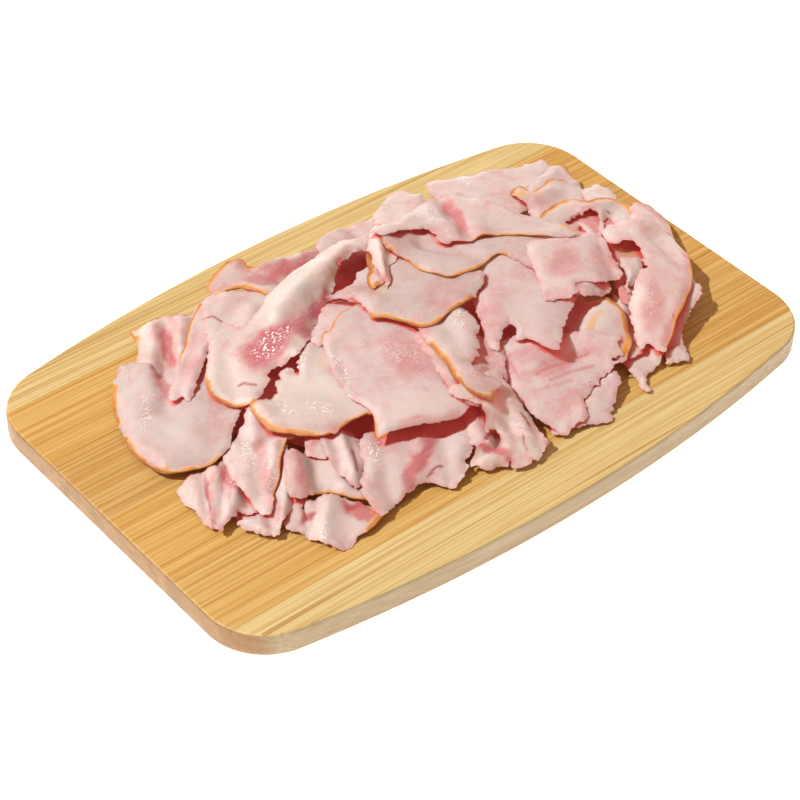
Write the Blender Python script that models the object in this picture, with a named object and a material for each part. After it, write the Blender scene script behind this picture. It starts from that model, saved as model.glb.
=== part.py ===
import bpy
import bmesh
import math
import numpy as np
from mathutils import Vector
from mathutils.geometry import delaunay_2d_cdt

# A bamboo serving board, about 15 x 10 inches, carrying a pile of shaved deli ham.
# All lengths below are millimetres, turned into metres when the meshes are made.
# Origin: centre of the board's underside.  +X along the board, +Z up.

LENGTH, WIDTH, THICK = 380.0, 254.0, 14.0
BOW = 19.6            # how far each long side bulges over its length
CORNER = 34.7         # corner radius in plan
ROUND = 1.6           # rounding of the board's upper and lower edges
PLANK_Y = 94.0        # joint between the centre panel and each side plank
STAVES = 4            # strips glued edge to edge in the centre panel
SEAM = 0.3            # clearance kept between neighbouring solids

SLICE = 1.2           # thickness of a ham slice
GAP = 0.3             # clearance kept between slices

# ---------------------------------------------------------------------------
# Drafting view.  The loose slices are laid out on a drafting sheet, an oblique
# perspective view of the board, 800 units square with (400, 400) at its middle,
# u to the right and v down.  Each outline point carries only u and v: the height
# of the slice there, in mm above the board, fixes its place in space.
VIEW_AZ, VIEW_EL, VIEW_ROLL = math.radians(-41.28), math.radians(41.86), math.radians(2.02)
VIEW_DIST, VIEW_FOCUS = 1235.2, 2391.1
VIEW_AIM = np.array([-14.4, -8.8, 0.0])

back = np.array([math.sin(VIEW_AZ) * math.cos(VIEW_EL),
                 -math.cos(VIEW_AZ) * math.cos(VIEW_EL), math.sin(VIEW_EL)])
EYE = VIEW_AIM + back * VIEW_DIST
AHEAD = -back
_r = np.cross(AHEAD, [0.0, 0.0, 1.0])
_r /= np.linalg.norm(_r)
_u = np.cross(_r, AHEAD)
RIGHT = _r * math.cos(VIEW_ROLL) + _u * math.sin(VIEW_ROLL)
UP = -_r * math.sin(VIEW_ROLL) + _u * math.cos(VIEW_ROLL)


def from_sheet(uv, h):
    """Sheet points (n, 2) at heights h above the board's top -> plan points (n, 2)."""
    uv = np.atleast_2d(np.asarray(uv, float))
    h = np.broadcast_to(np.asarray(h, float), (len(uv),))
    d = AHEAD + RIGHT * ((uv[:, :1] - 400.0) / VIEW_FOCUS) - UP * ((uv[:, 1:] - 400.0) / VIEW_FOCUS)
    t = (THICK + h - EYE[2]) / d[:, 2]
    return EYE[:2] + d[:, :2] * t[:, None]


def smooth_height(marks, xy):
    """Gentle interpolation of heights through a slice's marks, in plan."""
    m = np.array(marks, float)
    p = from_sheet(m[:, :2], m[:, 2])
    soft = 12.0

    def kernel(a, b):
        d2 = ((a[:, None, :] - b[None, :, :]) ** 2).sum(2)
        return np.sqrt(d2 + soft * soft)
    n = len(p)
    A = np.zeros((n + 1, n + 1))
    A[:n, :n] = kernel(p, p) - np.eye(n) * 2.0
    A[:n, n] = A[n, :n] = 1.0
    w = np.linalg.solve(A, np.append(m[:, 2], 0.0))
    z = kernel(np.atleast_2d(xy), p) @ w[:n] + w[n]
    return np.clip(z, m[:, 2].min() - 2.0, m[:, 2].max() + 2.5)


def closed_curve(pts, step):
    """Closed Catmull-Rom curve through pts, resampled at about the given step."""
    p = np.asarray(pts, float)
    n = len(p)
    out = []
    for i in range(n):
        a, b, c, d = p[i - 1], p[i], p[(i + 1) % n], p[(i + 2) % n]
        for t in np.arange(0.0, 1.0, 0.1):
            out.append(0.5 * (2 * b + (c - a) * t + (2 * a - 5 * b + 4 * c - d) * t * t
                              + (3 * b - a - 3 * c + d) * t ** 3))
    q = np.array(out)
    s = np.append(0.0, np.cumsum(np.linalg.norm(np.diff(np.vstack([q, q[:1]]), axis=0), axis=1)))
    m = max(6, int(round(s[-1] / step)))
    want = np.arange(m) * s[-1] / m
    q = np.vstack([q, q[:1]])
    return np.c_[np.interp(want, s, q[:, 0]), np.interp(want, s, q[:, 1])]


def inside(poly, pts):
    """Which points lie inside a closed polygon."""
    x, y = pts[:, 0], pts[:, 1]
    res = np.zeros(len(pts), bool)
    for (x0, y0), (x1, y1) in zip(poly, np.roll(poly, -1, axis=0)):
        if y0 == y1:
            continue
        hit = (y0 > y) != (y1 > y)
        res ^= hit & (x < (x1 - x0) * (y - y0) / (y1 - y0) + x0)
    return res


def edge_distance(poly, pts):
    """Distance from each point to a closed polygon's boundary."""
    best = np.full(len(pts), 1e9)
    for a, b in zip(poly, np.roll(poly, -1, axis=0)):
        ab = b - a
        t = np.clip(((pts - a) @ ab) / max(ab @ ab, 1e-9), 0, 1)
        best = np.minimum(best, np.linalg.norm(pts - a - t[:, None] * ab, axis=1))
    return best


# ---------------------------------------------------------------------------
# Height map of the pile's top, in mm above the board, on a plan grid.
CELL = 1.0
X0, Y0, NX, NY = -200.0, -145.0, 401, 291


def spread(grid, n=1):
    """Largest value within n cells each way."""
    out = grid.copy()
    for _ in range(n):
        p = np.pad(out, 1, mode="edge")
        out = np.max([p[i:i + out.shape[0], j:j + out.shape[1]]
                      for i in range(3) for j in range(3)], axis=0)
    return out


def covered_cells(xy, tris, slack=0.75):
    """Grid cells under a triangulated sheet: flat index, corner ids and weights."""
    cells, ids, wts = [], [], []
    for tri in tris:
        a, b, c = xy[list(tri)]
        det = (b[0] - a[0]) * (c[1] - a[1]) - (c[0] - a[0]) * (b[1] - a[1])
        if abs(det) < 1e-6:
            continue
        lo, hi = np.min([a, b, c], axis=0) - slack, np.max([a, b, c], axis=0) + slack
        i0, i1 = int(math.floor((lo[0] - X0) / CELL)), int(math.ceil((hi[0] - X0) / CELL))
        j0, j1 = int(math.floor((lo[1] - Y0) / CELL)), int(math.ceil((hi[1] - Y0) / CELL))
        gx, gy = np.meshgrid(np.arange(i0, i1 + 1), np.arange(j0, j1 + 1))
        px, py = X0 + gx * CELL, Y0 + gy * CELL
        w1 = ((px - a[0]) * (c[1] - a[1]) - (c[0] - a[0]) * (py - a[1])) / det
        w2 = ((b[0] - a[0]) * (py - a[1]) - (px - a[0]) * (b[1] - a[1])) / det
        w0 = 1.0 - w1 - w2
        area = abs(det)
        s0 = slack * np.linalg.norm(c - b) / area
        s1 = slack * np.linalg.norm(c - a) / area
        s2 = slack * np.linalg.norm(b - a) / area
        ok = (w0 > -s0) & (w1 > -s1) & (w2 > -s2)
        cells.append((gy * NX + gx)[ok])
        ids.append(np.repeat(np.array(tri)[None, :], ok.sum(), axis=0))
        w = np.clip(np.c_[w0[ok], w1[ok], w2[ok]], 0.0, None)
        wts.append(w / w.sum(axis=1)[:, None])
    return np.concatenate(cells), np.concatenate(ids), np.concatenate(wts)


def mesh_plan(curve, pitch):
    """Triangles inside a closed curve, with an even scatter of inner points."""
    lo, hi = curve.min(axis=0), curve.max(axis=0)
    rows = []
    for k, y in enumerate(np.arange(lo[1], hi[1] + pitch, pitch * 0.866)):
        xs = np.arange(lo[0], hi[0] + pitch, pitch) + (pitch / 2 if k % 2 else 0.0)
        rows.append(np.c_[xs, np.full(len(xs), y)])
    pts = np.vstack(rows)
    pts = pts[inside(curve, pts)]
    if len(pts):
        pts = pts[edge_distance(curve, pts) > pitch * 0.5]
    verts = [Vector(p) for p in curve] + [Vector(p) for p in pts]
    n = len(curve)
    edges = [(i, (i + 1) % n) for i in range(n)]
    co, _, faces, _, _, _ = delaunay_2d_cdt(verts, edges, [], 1, 1e-6)
    # keep the largest piece joined edge to edge, where a sharp fold pinches the plan
    group = list(range(len(faces)))

    def root(i):
        while group[i] != i:
            i = group[i]
        return i
    owner = {}
    for k, f in enumerate(faces):
        for a, b in ((f[0], f[1]), (f[1], f[2]), (f[2], f[0])):
            e = (min(a, b), max(a, b))
            if e in owner:
                group[root(k)] = root(owner[e])
            owner[e] = k
    roots = [root(k) for k in range(len(faces))]
    keep = max(sorted(set(roots)), key=roots.count)
    faces = [f for f, r in zip(faces, roots) if r == keep]
    used = sorted({i for f in faces for i in f})
    new = {old: k for k, old in enumerate(used)}
    return (np.array([tuple(co[i]) for i in used]),
            [tuple(new[i] for i in f) for f in faces])


top_map = np.zeros((NY, NX))
report = []


def settle(xy, tris, z):
    """Raise a sheet's underside until it clears the pile so far, then add it."""
    cells, ids, w = covered_cells(xy, tris)
    floor = spread(top_map).ravel()[cells] + GAP
    z = z.copy()
    norm = (w * w).sum(axis=1)
    for _ in range(400):
        lack = floor - (z[ids] * w).sum(axis=1)
        if lack.max() < 0.005:
            break
        push = np.zeros(len(z))
        bad = lack > 0
        step = (lack[bad] / norm[bad])[:, None] * w[bad]
        np.maximum.at(push, ids[bad].ravel(), step.ravel())
        z += push
    top = (z[ids] * w).sum(axis=1) + SLICE
    flat = top_map.ravel()
    np.maximum.at(flat, cells, top)
    top_map[:] = flat.reshape(top_map.shape)
    return z


def lift_at(xy, want):
    """How far the pile so far would lift a sheet whose underside should be at want."""
    i = np.clip(((xy[:, 0] - X0) / CELL).round().astype(int), 0, NX - 1)
    j = np.clip(((xy[:, 1] - Y0) / CELL).round().astype(int), 0, NY - 1)
    return np.clip(spread(top_map)[j, i] + GAP - want, 0.0, None)


def make_object(name, verts, faces, mat):
    mesh = bpy.data.meshes.new(name)
    mesh.from_pydata([tuple(c * 0.001 for c in v) for v in verts], [], faces)
    bm = bmesh.new()
    bm.from_mesh(mesh)
    bmesh.ops.recalc_face_normals(bm, faces=bm.faces)
    bm.to_mesh(mesh)
    bm.free()
    mesh.materials.append(mat)
    obj = bpy.data.objects.new(name, mesh)
    bpy.context.scene.collection.objects.link(obj)
    return obj


def make_slice(name, xy, tris, z, mat):
    """A closed sheet of even thickness: top, underside and a cut edge all round."""
    n = len(xy)
    verts = [(x, y, THICK + h + SLICE) for (x, y), h in zip(xy, z)]
    verts += [(x, y, THICK + h) for (x, y), h in zip(xy, z)]
    faces, count = [], {}
    for a, b, c in tris:
        faces.append((a, b, c))
        faces.append((c + n, b + n, a + n))
        for e in ((a, b), (b, c), (c, a)):
            count[e] = count.get(e, 0) + 1
    for a, b in count:
        if (b, a) not in count:
            faces.append((b, a, a + n))
            faces.append((b, a + n, b + n))
    return make_object(name, verts, faces, mat)


def material(name, rgb, rough):
    m = bpy.data.materials.new(name)
    m.use_nodes = True
    s = m.node_tree.nodes["Principled BSDF"]
    s.inputs["Base Color"].default_value = (*rgb, 1.0)
    s.inputs["Roughness"].default_value = rough
    return m


for o in list(bpy.data.objects):
    bpy.data.objects.remove(o)

# ---------------------------------------------------------------------------
# The board.


def board_outline(inset, n_long=14, n_corner=7):
    """Plan of the board: two bowed long sides, two straight ends, round corners."""
    a, b = LENGTH / 2 - inset, WIDTH / 2 - inset
    r = CORNER - inset
    big = ((LENGTH / 2) ** 2 + BOW ** 2) / (2 * BOW) - inset
    cy = b - big
    fx = a - r
    fy = cy + math.sqrt((big - r) ** 2 - fx ** 2)
    t = math.atan2(fy - cy, fx)
    quarter = [(big * math.cos(s), cy + big * math.sin(s))
               for s in np.linspace(math.pi / 2, t, n_long)]
    quarter += [(fx + r * math.cos(s), fy + r * math.sin(s))
                for s in np.linspace(t, 0.0, n_corner)[1:]]
    right = quarter + [(x, -y) for x, y in reversed(quarter)]
    left = [(-x, -y) for x, y in right]
    return right[:-1] + left[:-1]


def board_blank():
    """The whole board as one closed mesh with rounded rims, before it is sawn into strips."""
    rings = []
    for inset, z in ((ROUND, 0.0), (ROUND * 0.3, ROUND * 0.3), (0.0, ROUND),
                     (0.0, THICK - ROUND), (ROUND * 0.3, THICK - ROUND * 0.3), (ROUND, THICK)):
        rings.append([(x, y, z) for x, y in board_outline(inset)])
    bm = bmesh.new()
    vs = [[bm.verts.new(p) for p in ring] for ring in rings]
    n = len(vs[0])
    for lo, hi in zip(vs, vs[1:]):
        for i in range(n):
            j = (i + 1) % n
            bm.faces.new((lo[i], lo[j], hi[j], hi[i]))
    bm.faces.new(vs[0])
    bm.faces.new(vs[-1])
    bmesh.ops.recalc_face_normals(bm, faces=bm.faces)
    return bm


def strip(name, low, high, colour):
    """The length of board lying between two joints."""
    bm = board_blank()
    for y, side in ((low, -1), (high, 1)):
        if abs(y) > WIDTH:
            continue
        geom = bm.verts[:] + bm.edges[:] + bm.faces[:]
        cut = bmesh.ops.bisect_plane(bm, geom=geom, plane_co=(0, y, 0), plane_no=(0, side, 0),
                                     clear_outer=True, dist=1e-5)
        rim = [e for e in cut["geom_cut"] if isinstance(e, bmesh.types.BMEdge)]
        bmesh.ops.contextual_create(bm, geom=rim)
    bmesh.ops.remove_doubles(bm, verts=bm.verts, dist=1e-4)
    bmesh.ops.triangulate(bm, faces=bm.faces)
    bmesh.ops.recalc_face_normals(bm, faces=bm.faces)
    mesh = bpy.data.meshes.new(name)
    for v in bm.verts:
        v.co *= 0.001
    bm.to_mesh(mesh)
    bm.free()
    mesh.materials.append(material(name, colour, 0.45))
    obj = bpy.data.objects.new(name, mesh)
    bpy.context.scene.collection.objects.link(obj)


DARK_BAMBOO, PALE_BAMBOO = (0.76, 0.45, 0.14), (0.79, 0.60, 0.30)
strip("board_plank_near", -1e4, -PLANK_Y - SEAM / 2, PALE_BAMBOO)
strip("board_plank_far", PLANK_Y + SEAM / 2, 1e4, PALE_BAMBOO)
for k in range(STAVES):
    lo = -PLANK_Y + 2 * PLANK_Y * k / STAVES + SEAM / 2
    hi = -PLANK_Y + 2 * PLANK_Y * (k + 1) / STAVES - SEAM / 2
    strip("board_stave_%d" % (k + 1), lo, hi, DARK_BAMBOO)

# ---------------------------------------------------------------------------
# The ham.
TONES = {"pink": (0.76, 0.46, 0.42), "pale": (0.82, 0.60, 0.55), "muscle": (0.66, 0.24, 0.25)}

# Layers buried in the middle of the pile: centre, half-lengths, height at rim and crown.
BURIED = [
    ("buried_slice_1", (16, 2), (122, 62), 0.8, 6.0, 0.3),
    ("buried_slice_2", (22, 12), (92, 46), 5.0, 12.0, 2.6),
]

# Slices from the bottom of the pile to the top: name, tone, outline on the
# drafting sheet and heights (u, v, mm above the board).
SLICES = [
    # (name, tone, outline, heights)
    ("scrap_far_left", "muscle",
     [(150, 322), (158, 317), (170, 314), (184, 312), (192, 318), (198, 330), (180, 338), (160, 336)],
     [(150, 322, 9), (184, 313, 12), (190, 335, 12)]),
    ("slice_far_left", "pale",
     [(130, 332), (141, 326), (155, 322), (170, 319), (188, 315), (203, 303), (212, 318), (205, 350),
      (190, 385), (165, 392), (148, 380), (137, 362), (138, 345)],
     [(135, 330, 8), (137, 362, 7), (170, 320, 11), (203, 303, 15), (190, 380, 11), (165, 350, 9)]),
    ("slice_left_round", "pink",
     [(117, 367), (113, 383), (113, 400), (116, 415), (121, 430), (128, 443), (138, 455), (150, 464),
      (163, 469), (177, 470), (190, 468), (203, 466), (213, 462), (222, 454), (230, 444), (231, 436),
      (234, 427), (238, 417), (243, 408), (247, 399), (240, 380), (225, 370), (205, 365), (190, 362),
      (176, 366), (166, 364), (160, 374), (154, 366), (136, 360), (127, 363)],
     [(117, 367, 8), (113, 392, 4.5), (128, 443, 5.5), (163, 469, 7), (190, 468, 7), (213, 462, 7.5),
      (234, 424, 14), (180, 430, 10), (160, 376, 11), (180, 390, 12), (225, 375, 16), (140, 400, 8)]),
    ("slice_left_tall", "pink",
     [(205, 296), (199, 304), (195, 311), (191, 320), (188, 332), (184, 345), (180, 352), (176, 367),
      (173, 380), (170, 398), (175, 400), (179, 397), (183, 396), (186, 399), (190, 401), (193, 396),
      (196, 387), (200, 376), (204, 364), (208, 352), (213, 343), (222, 338), (236, 330), (242, 316),
      (232, 300), (217, 292)],
     [(205, 297, 20), (188, 332, 16), (176, 367, 14), (171, 399, 12), (191, 400, 13), (204, 364, 19),
      (222, 338, 22), (240, 318, 22)]),
    ("slice_left_middle", "pink",
     [(203, 298), (225, 290), (250, 288), (275, 295), (268, 320), (250, 340), (232, 358), (215, 360),
      (208, 342), (203, 325), (202, 310)],
     [(203, 298, 20), (225, 290, 21), (270, 298, 24), (250, 335, 24), (210, 345, 19), (230, 320, 21)]),
    ("slice_far_left_dark", "muscle",
     [(206, 288), (209, 280), (213, 272), (220, 266), (228, 261), (237, 258), (243, 258), (249, 264),
      (262, 263), (275, 258), (300, 251), (315, 246), (326, 238), (345, 245), (345, 265), (320, 278),
      (300, 290), (280, 300), (268, 297), (260, 291), (250, 288), (240, 287), (230, 289), (222, 291),
      (212, 292)],
     [(206, 288, 16), (220, 266, 17), (243, 258, 19), (262, 263, 20), (300, 251, 21), (326, 240, 20),
      (268, 295, 24), (224, 291, 20), (250, 275, 20), (330, 262, 19)]),
    ("slice_far_middle", "pale",
     [(316, 246), (323, 234), (335, 229), (350, 226), (362, 221), (373, 218), (385, 222), (390, 240),
      (380, 255), (360, 262), (340, 262), (325, 258)],
     [(318, 244, 20), (323, 234, 20), (350, 227, 20), (373, 219, 21), (385, 240, 21), (350, 255, 17)]),
    ("slice_near_left_tip", "pale",
     [(177, 490), (180, 484), (186, 478), (193, 472), (203, 468), (215, 466), (228, 470), (225, 490),
      (222, 510), (218, 527), (212, 530), (205, 525), (198, 515), (190, 507), (184, 501)],
     [(177, 490, 3), (193, 472, 6), (215, 468, 9), (205, 500, 4), (212, 528, 2.5), (220, 505, 6)]),
    ("scrap_near_left", "pink",
     [(234, 509), (248, 500), (262, 505), (264, 516), (252, 522), (240, 520)],
     [(238, 515, 3), (260, 505, 5), (252, 521, 3)]),
    ("slice_near_left_fan", "pink",
     [(224, 462), (235, 452), (250, 460), (262, 480), (266, 500), (258, 511), (248, 513), (238, 513),
      (235, 519), (226, 525), (223, 530), (218, 531), (214, 524), (212, 510), (210, 497), (213, 484),
      (218, 470)],
     [(222, 462, 10), (250, 462, 9.5), (262, 500, 6), (236, 519, 4), (217, 530, 2.5), (211, 495, 6),
      (235, 490, 6.5)]),
    ("scrap_near", "pink",
     [(286, 494), (302, 494), (306, 508), (308, 518), (302, 526), (296, 533), (284, 524), (286, 510)],
     [(290, 500, 8), (296, 532, 3), (304, 510, 6)]),
    ("slice_near_low", "pink",
     [(312, 496), (330, 492), (350, 498), (368, 506), (383, 513), (378, 521), (370, 530), (357, 537),
      (352, 543), (344, 547), (330, 544), (318, 541), (308, 536), (298, 528), (304, 522), (307, 516),
      (303, 509), (304, 499)],
     [(330, 496, 9), (383, 513, 4), (370, 530, 3), (344, 547, 2.5), (318, 541, 3), (298, 528, 3),
      (305, 505, 7), (340, 520, 6)]),
    ("slice_near_left_curl", "pink",
     [(237, 515), (250, 513), (262, 510), (270, 500), (274, 480), (278, 462), (283, 448), (290, 455),
      (293, 480), (292, 500), (289, 513), (283, 524), (279, 536), (268, 535), (256, 532), (246, 526)],
     [(237, 515, 4), (256, 532, 3), (279, 536, 3), (286, 510, 6), (283, 452, 15), (274, 490, 9)]),
    ("slice_left_hollow", "muscle",
     [(238, 372), (252, 360), (270, 350), (290, 340), (314, 326), (322, 345), (308, 375), (292, 400),
      (276, 414), (258, 414), (244, 408), (236, 392)],
     [(240, 375, 15), (314, 328, 22), (305, 375, 19), (276, 412, 14), (258, 412, 13.5),
      (270, 370, 17)]),
    ("slice_near_left_middle", "pink",
     [(246, 408), (243, 420), (239, 430), (234, 440), (229, 449), (223, 457), (226, 468), (238, 484),
      (250, 500), (262, 514), (272, 512), (275, 492), (279, 478), (281, 462), (283, 448), (290, 438),
      (300, 432), (300, 415), (280, 405), (262, 398)],
     [(246, 408, 13), (224, 457, 8), (234, 440, 9.5), (250, 500, 6), (263, 514, 5), (272, 512, 6),
      (281, 460, 12), (295, 430, 12), (260, 450, 10.5), (262, 400, 13)]),
    ("slice_near_flap", "pink",
     [(284, 456), (300, 450), (312, 446), (326, 446), (338, 465), (350, 478), (364, 485), (369, 497),
      (355, 497), (340, 494), (328, 491), (315, 492), (303, 497), (290, 496), (286, 488), (284, 475)],
     [(300, 452, 10), (326, 448, 10), (364, 486, 7), (369, 497, 6), (340, 494, 6), (303, 497, 7),
      (288, 490, 7), (284, 460, 10), (320, 475, 9)]),
    ("scrap_near_upper", "pale",
     [(303, 430), (312, 424), (322, 430), (328, 445), (328, 456), (315, 457), (306, 452), (304, 442)],
     [(312, 428, 12.5), (315, 456, 11), (305, 440, 12)]),
    ("slice_near_tongue", "pink",
     [(318, 428), (335, 428), (352, 430), (362, 445), (365, 463), (365, 478), (357, 488), (350, 484),
      (340, 475), (332, 466), (327, 455), (321, 443)],
     [(320, 430, 13), (350, 432, 12.5), (365, 465, 9.5), (357, 488, 7.5), (332, 466, 11)]),
    ("slice_near_hanging", "pink",
     [(360, 440), (372, 424), (385, 412), (420, 404), (455, 398), (472, 402), (480, 414), (481, 428),
      (478, 437), (471, 447), (467, 456), (468, 464), (462, 475), (458, 482), (452, 486), (442, 484),
      (431, 479), (423, 482), (415, 488), (405, 496), (395, 504), (384, 514), (377, 511), (367, 500),
      (362, 486), (364, 465)],
     [(370, 430, 11), (420, 408, 12), (472, 403, 15), (481, 428, 12), (468, 462, 8), (458, 482, 4.5),
      (431, 480, 4.5), (405, 496, 3.5), (384, 514, 3), (367, 500, 4.5), (364, 465, 9.5),
      (420, 450, 11)]),
    ("slice_near_right_hollow", "pink",
     [(466, 396), (480, 398), (494, 408), (506, 424), (506, 440), (500, 448), (486, 448), (474, 446),
      (468, 436), (464, 415)],
     [(470, 400, 14), (500, 415, 12), (502, 440, 6), (476, 444, 6), (468, 420, 10), (486, 425, 10)]),
    ("slice_right_outer", "pink",
     [(688, 276), (696, 281), (701, 284), (702, 290), (699, 298), (693, 306), (688, 316), (685, 326),
      (682, 335), (686, 346), (680, 352), (662, 352), (650, 340), (655, 315), (668, 290)],
     [(698, 283, 13.5), (700, 291, 13.5), (688, 316, 10.5), (684, 330, 8), (686, 346, 4),
      (664, 350, 5), (655, 320, 11)]),
    ("scrap_right", "pale",
     [(666, 357), (670, 347), (680, 345), (691, 356), (682, 359), (668, 361)],
     [(670, 347, 2.5), (691, 356, 2), (668, 361, 2)]),
    ("slice_right_low", "pale",
     [(618, 345), (625, 325), (645, 322), (662, 345), (663, 357), (656, 366), (648, 373), (646, 381),
      (649, 390), (641, 385), (633, 374), (625, 363)],
     [(625, 330, 12), (655, 335, 9), (663, 357, 4), (649, 389, 2.5), (633, 374, 4), (625, 363, 6)]),
    ("strip_right", "pale",
     [(612, 292), (624, 296), (631, 304), (634, 320), (638, 336), (642, 352), (630, 356), (624, 345),
      (627, 333), (622, 318), (616, 306)],
     [(615, 295, 18), (634, 320, 14), (640, 352, 9)]),
    ("slice_right_hollow", "muscle",
     [(556, 214), (572, 205), (590, 203), (610, 206), (628, 212), (645, 222), (652, 240), (650, 262),
      (642, 280), (634, 300), (622, 300), (616, 284), (610, 268), (604, 250), (596, 240), (580, 236),
      (562, 230)],
     [(558, 214, 22), (600, 204, 20), (645, 225, 20), (650, 262, 18), (630, 298, 15), (612, 270, 21),
      (598, 240, 25), (625, 245, 20)]),
    ("scrap_right_upper", "pink",
     [(620, 256), (630, 256), (641, 256), (643, 264), (640, 272), (636, 279), (631, 287), (628, 293),
      (626, 286), (624, 274), (621, 265)],
     [(620, 257, 22), (641, 257, 23), (628, 291, 18)]),
    ("slice_right_middle", "pink",
     [(562, 340), (560, 322), (564, 306), (572, 297), (584, 294), (592, 298), (599, 296), (606, 297),
      (613, 301), (619, 306), (624, 313), (627, 320), (629, 331), (632, 341), (630, 350), (622, 358),
      (600, 350)],
     [(562, 320, 14), (575, 298, 18), (600, 297, 23), (620, 307, 20), (630, 340, 13), (622, 357, 11),
      (592, 335, 19), (600, 318, 22)]),
    ("slice_near_right_corner", "pink",
     [(575, 400), (590, 385), (605, 372), (616, 368), (620, 379), (617, 388), (615, 402), (612, 409),
      (612, 418), (592, 422), (576, 428), (558, 434), (550, 425), (560, 410)],
     [(616, 370, 10), (615, 402, 4), (612, 417, 3), (576, 428, 3), (558, 433, 3), (585, 395, 9)]),
    ("slice_near_right_big", "pink",
     [(498, 342), (515, 335), (545, 335), (575, 330), (600, 330), (612, 334), (621, 335), (618, 345),
      (622, 351), (612, 358), (619, 361), (613, 367), (602, 377), (596, 383), (591, 391), (585, 397),
      (585, 406), (588, 413), (583, 421), (571, 429), (564, 432), (553, 426), (544, 420), (536, 416),
      (527, 405), (518, 397), (511, 386), (506, 376), (501, 365), (499, 353)],
     [(500, 345, 26), (545, 337, 26), (600, 332, 18), (620, 340, 14), (613, 366, 10), (585, 400, 7),
      (583, 421, 5), (565, 431, 4), (544, 420, 8), (518, 397, 16), (501, 365, 22), (555, 375, 17)]),
    ("slice_near_middle_big", "pale",
     [(249, 405), (252, 411), (257, 417), (263, 421), (268, 425), (280, 427), (290, 428), (301, 430),
      (313, 430), (327, 430), (338, 426), (347, 421), (352, 418), (360, 416), (367, 413), (372, 413),
      (390, 400), (400, 380), (390, 350), (370, 325), (350, 315), (335, 322), (326, 331), (318, 334),
      (310, 340), (304, 346), (300, 353), (297, 360), (297, 367), (298, 374), (295, 370), (290, 367),
      (284, 368), (280, 371), (282, 376), (277, 379), (275, 384), (277, 390), (274, 394), (271, 399),
      (263, 400), (256, 401)],
     [(249, 406, 20), (268, 426, 19), (305, 430, 19), (347, 422, 21), (372, 413, 22), (395, 395, 24),
      (390, 350, 28), (350, 315, 29), (310, 340, 28), (299, 365, 26), (277, 379, 23), (263, 400, 20),
      (300, 400, 23), (340, 370, 28)]),
    ("slice_centre_hollow", "muscle",
     [(318, 312), (326, 296), (334, 280), (340, 264), (352, 252), (366, 246), (378, 252), (380, 275),
      (372, 295), (352, 302), (334, 306)],
     [(320, 310, 19), (340, 264, 15), (360, 250, 16), (378, 262, 18), (365, 295, 21), (340, 300, 18),
      (352, 275, 15)]),
    ("slice_left_big_fold", "pale",
     [(205, 380), (208, 388), (212, 394), (220, 398), (226, 401), (236, 403), (248, 402), (257, 398),
      (261, 392), (262, 388), (267, 383), (270, 378), (267, 373), (270, 368), (275, 364), (279, 362),
      (284, 363), (286, 359), (291, 357), (296, 354), (301, 350), (305, 344), (308, 339), (310, 331),
      (315, 321), (320, 312), (324, 303), (326, 296), (330, 288), (333, 280), (338, 268), (341, 262),
      (346, 258), (352, 254), (360, 251), (369, 250), (374, 240), (360, 236), (345, 238), (322, 251),
      (300, 265), (285, 277), (268, 293), (262, 302), (252, 318), (242, 326), (228, 324), (218, 330),
      (212, 338), (208, 346), (207, 356), (205, 368)],
     [(205, 380, 20), (220, 398, 19.5), (248, 402, 20.5), (272, 367, 25), (301, 350, 28),
      (310, 330, 28), (324, 303, 28), (340, 262, 31), (372, 245, 31), (322, 251, 29), (268, 293, 29),
      (245, 323, 27), (208, 345, 24), (250, 350, 25), (280, 330, 29), (300, 290, 35), (225, 365, 23)]),
    ("slice_centre_flap", "pink",
     [(311, 338), (312, 330), (316, 321), (320, 313), (324, 306), (330, 302), (338, 300), (347, 300),
      (356, 302), (364, 304), (362, 314), (350, 326), (338, 336), (326, 342), (316, 344)],
     [(311, 336, 28), (320, 313, 27), (338, 301, 27.5), (362, 304, 29), (350, 325, 29),
      (326, 340, 29)]),
    ("slice_near_middle_disk", "pink",
     [(322, 337), (323, 345), (326, 353), (329, 363), (333, 374), (340, 384), (347, 392), (353, 398),
      (360, 403), (368, 409), (373, 414), (375, 421), (377, 432), (384, 431), (390, 429), (400, 426),
      (412, 423), (425, 420), (438, 418), (450, 415), (462, 411), (470, 405), (475, 395), (476, 382),
      (465, 360), (445, 335), (420, 315), (390, 305), (364, 302), (350, 308), (340, 314), (334, 321),
      (331, 331), (326, 332)],
     [(324, 340, 30), (329, 363, 28.5), (345, 390, 26), (370, 411, 23.5), (377, 432, 21),
      (425, 420, 23), (462, 412, 23), (474, 398, 24), (465, 362, 28), (364, 302, 31), (333, 325, 31),
      (340, 345, 30.5), (400, 370, 29), (430, 390, 27), (420, 330, 30)]),
    ("slice_middle_under", "muscle",
     [(415, 335), (440, 322), (470, 330), (488, 336), (503, 350), (507, 372), (500, 392), (486, 402),
      (470, 402), (458, 395), (448, 386), (438, 372), (428, 356)],
     [(420, 338, 31), (470, 345, 30), (503, 355, 25), (495, 395, 21), (470, 400, 22), (450, 388, 26)]),
    ("slice_near_right_web", "pale",
     [(450, 388), (462, 380), (478, 376), (490, 368), (498, 368), (504, 377), (508, 384), (513, 390),
      (519, 400), (527, 408), (535, 418), (540, 426), (544, 432), (547, 438), (549, 443), (545, 449),
      (541, 456), (534, 461), (526, 465), (517, 468), (512, 466), (511, 461), (513, 455), (509, 462),
      (506, 466), (502, 464), (500, 460), (490, 457), (478, 455), (471, 454), (472, 447), (475, 443),
      (482, 440), (490, 439), (499, 440), (500, 434), (496, 428), (491, 424), (487, 418), (482, 412),
      (476, 407), (468, 402), (458, 396)],
     [(455, 390, 26), (480, 380, 27), (497, 370, 25), (505, 380, 23), (519, 400, 17), (535, 418, 12),
      (547, 436, 7), (541, 456, 4), (517, 467, 3), (502, 462, 4), (472, 450, 6), (484, 440, 9),
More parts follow.
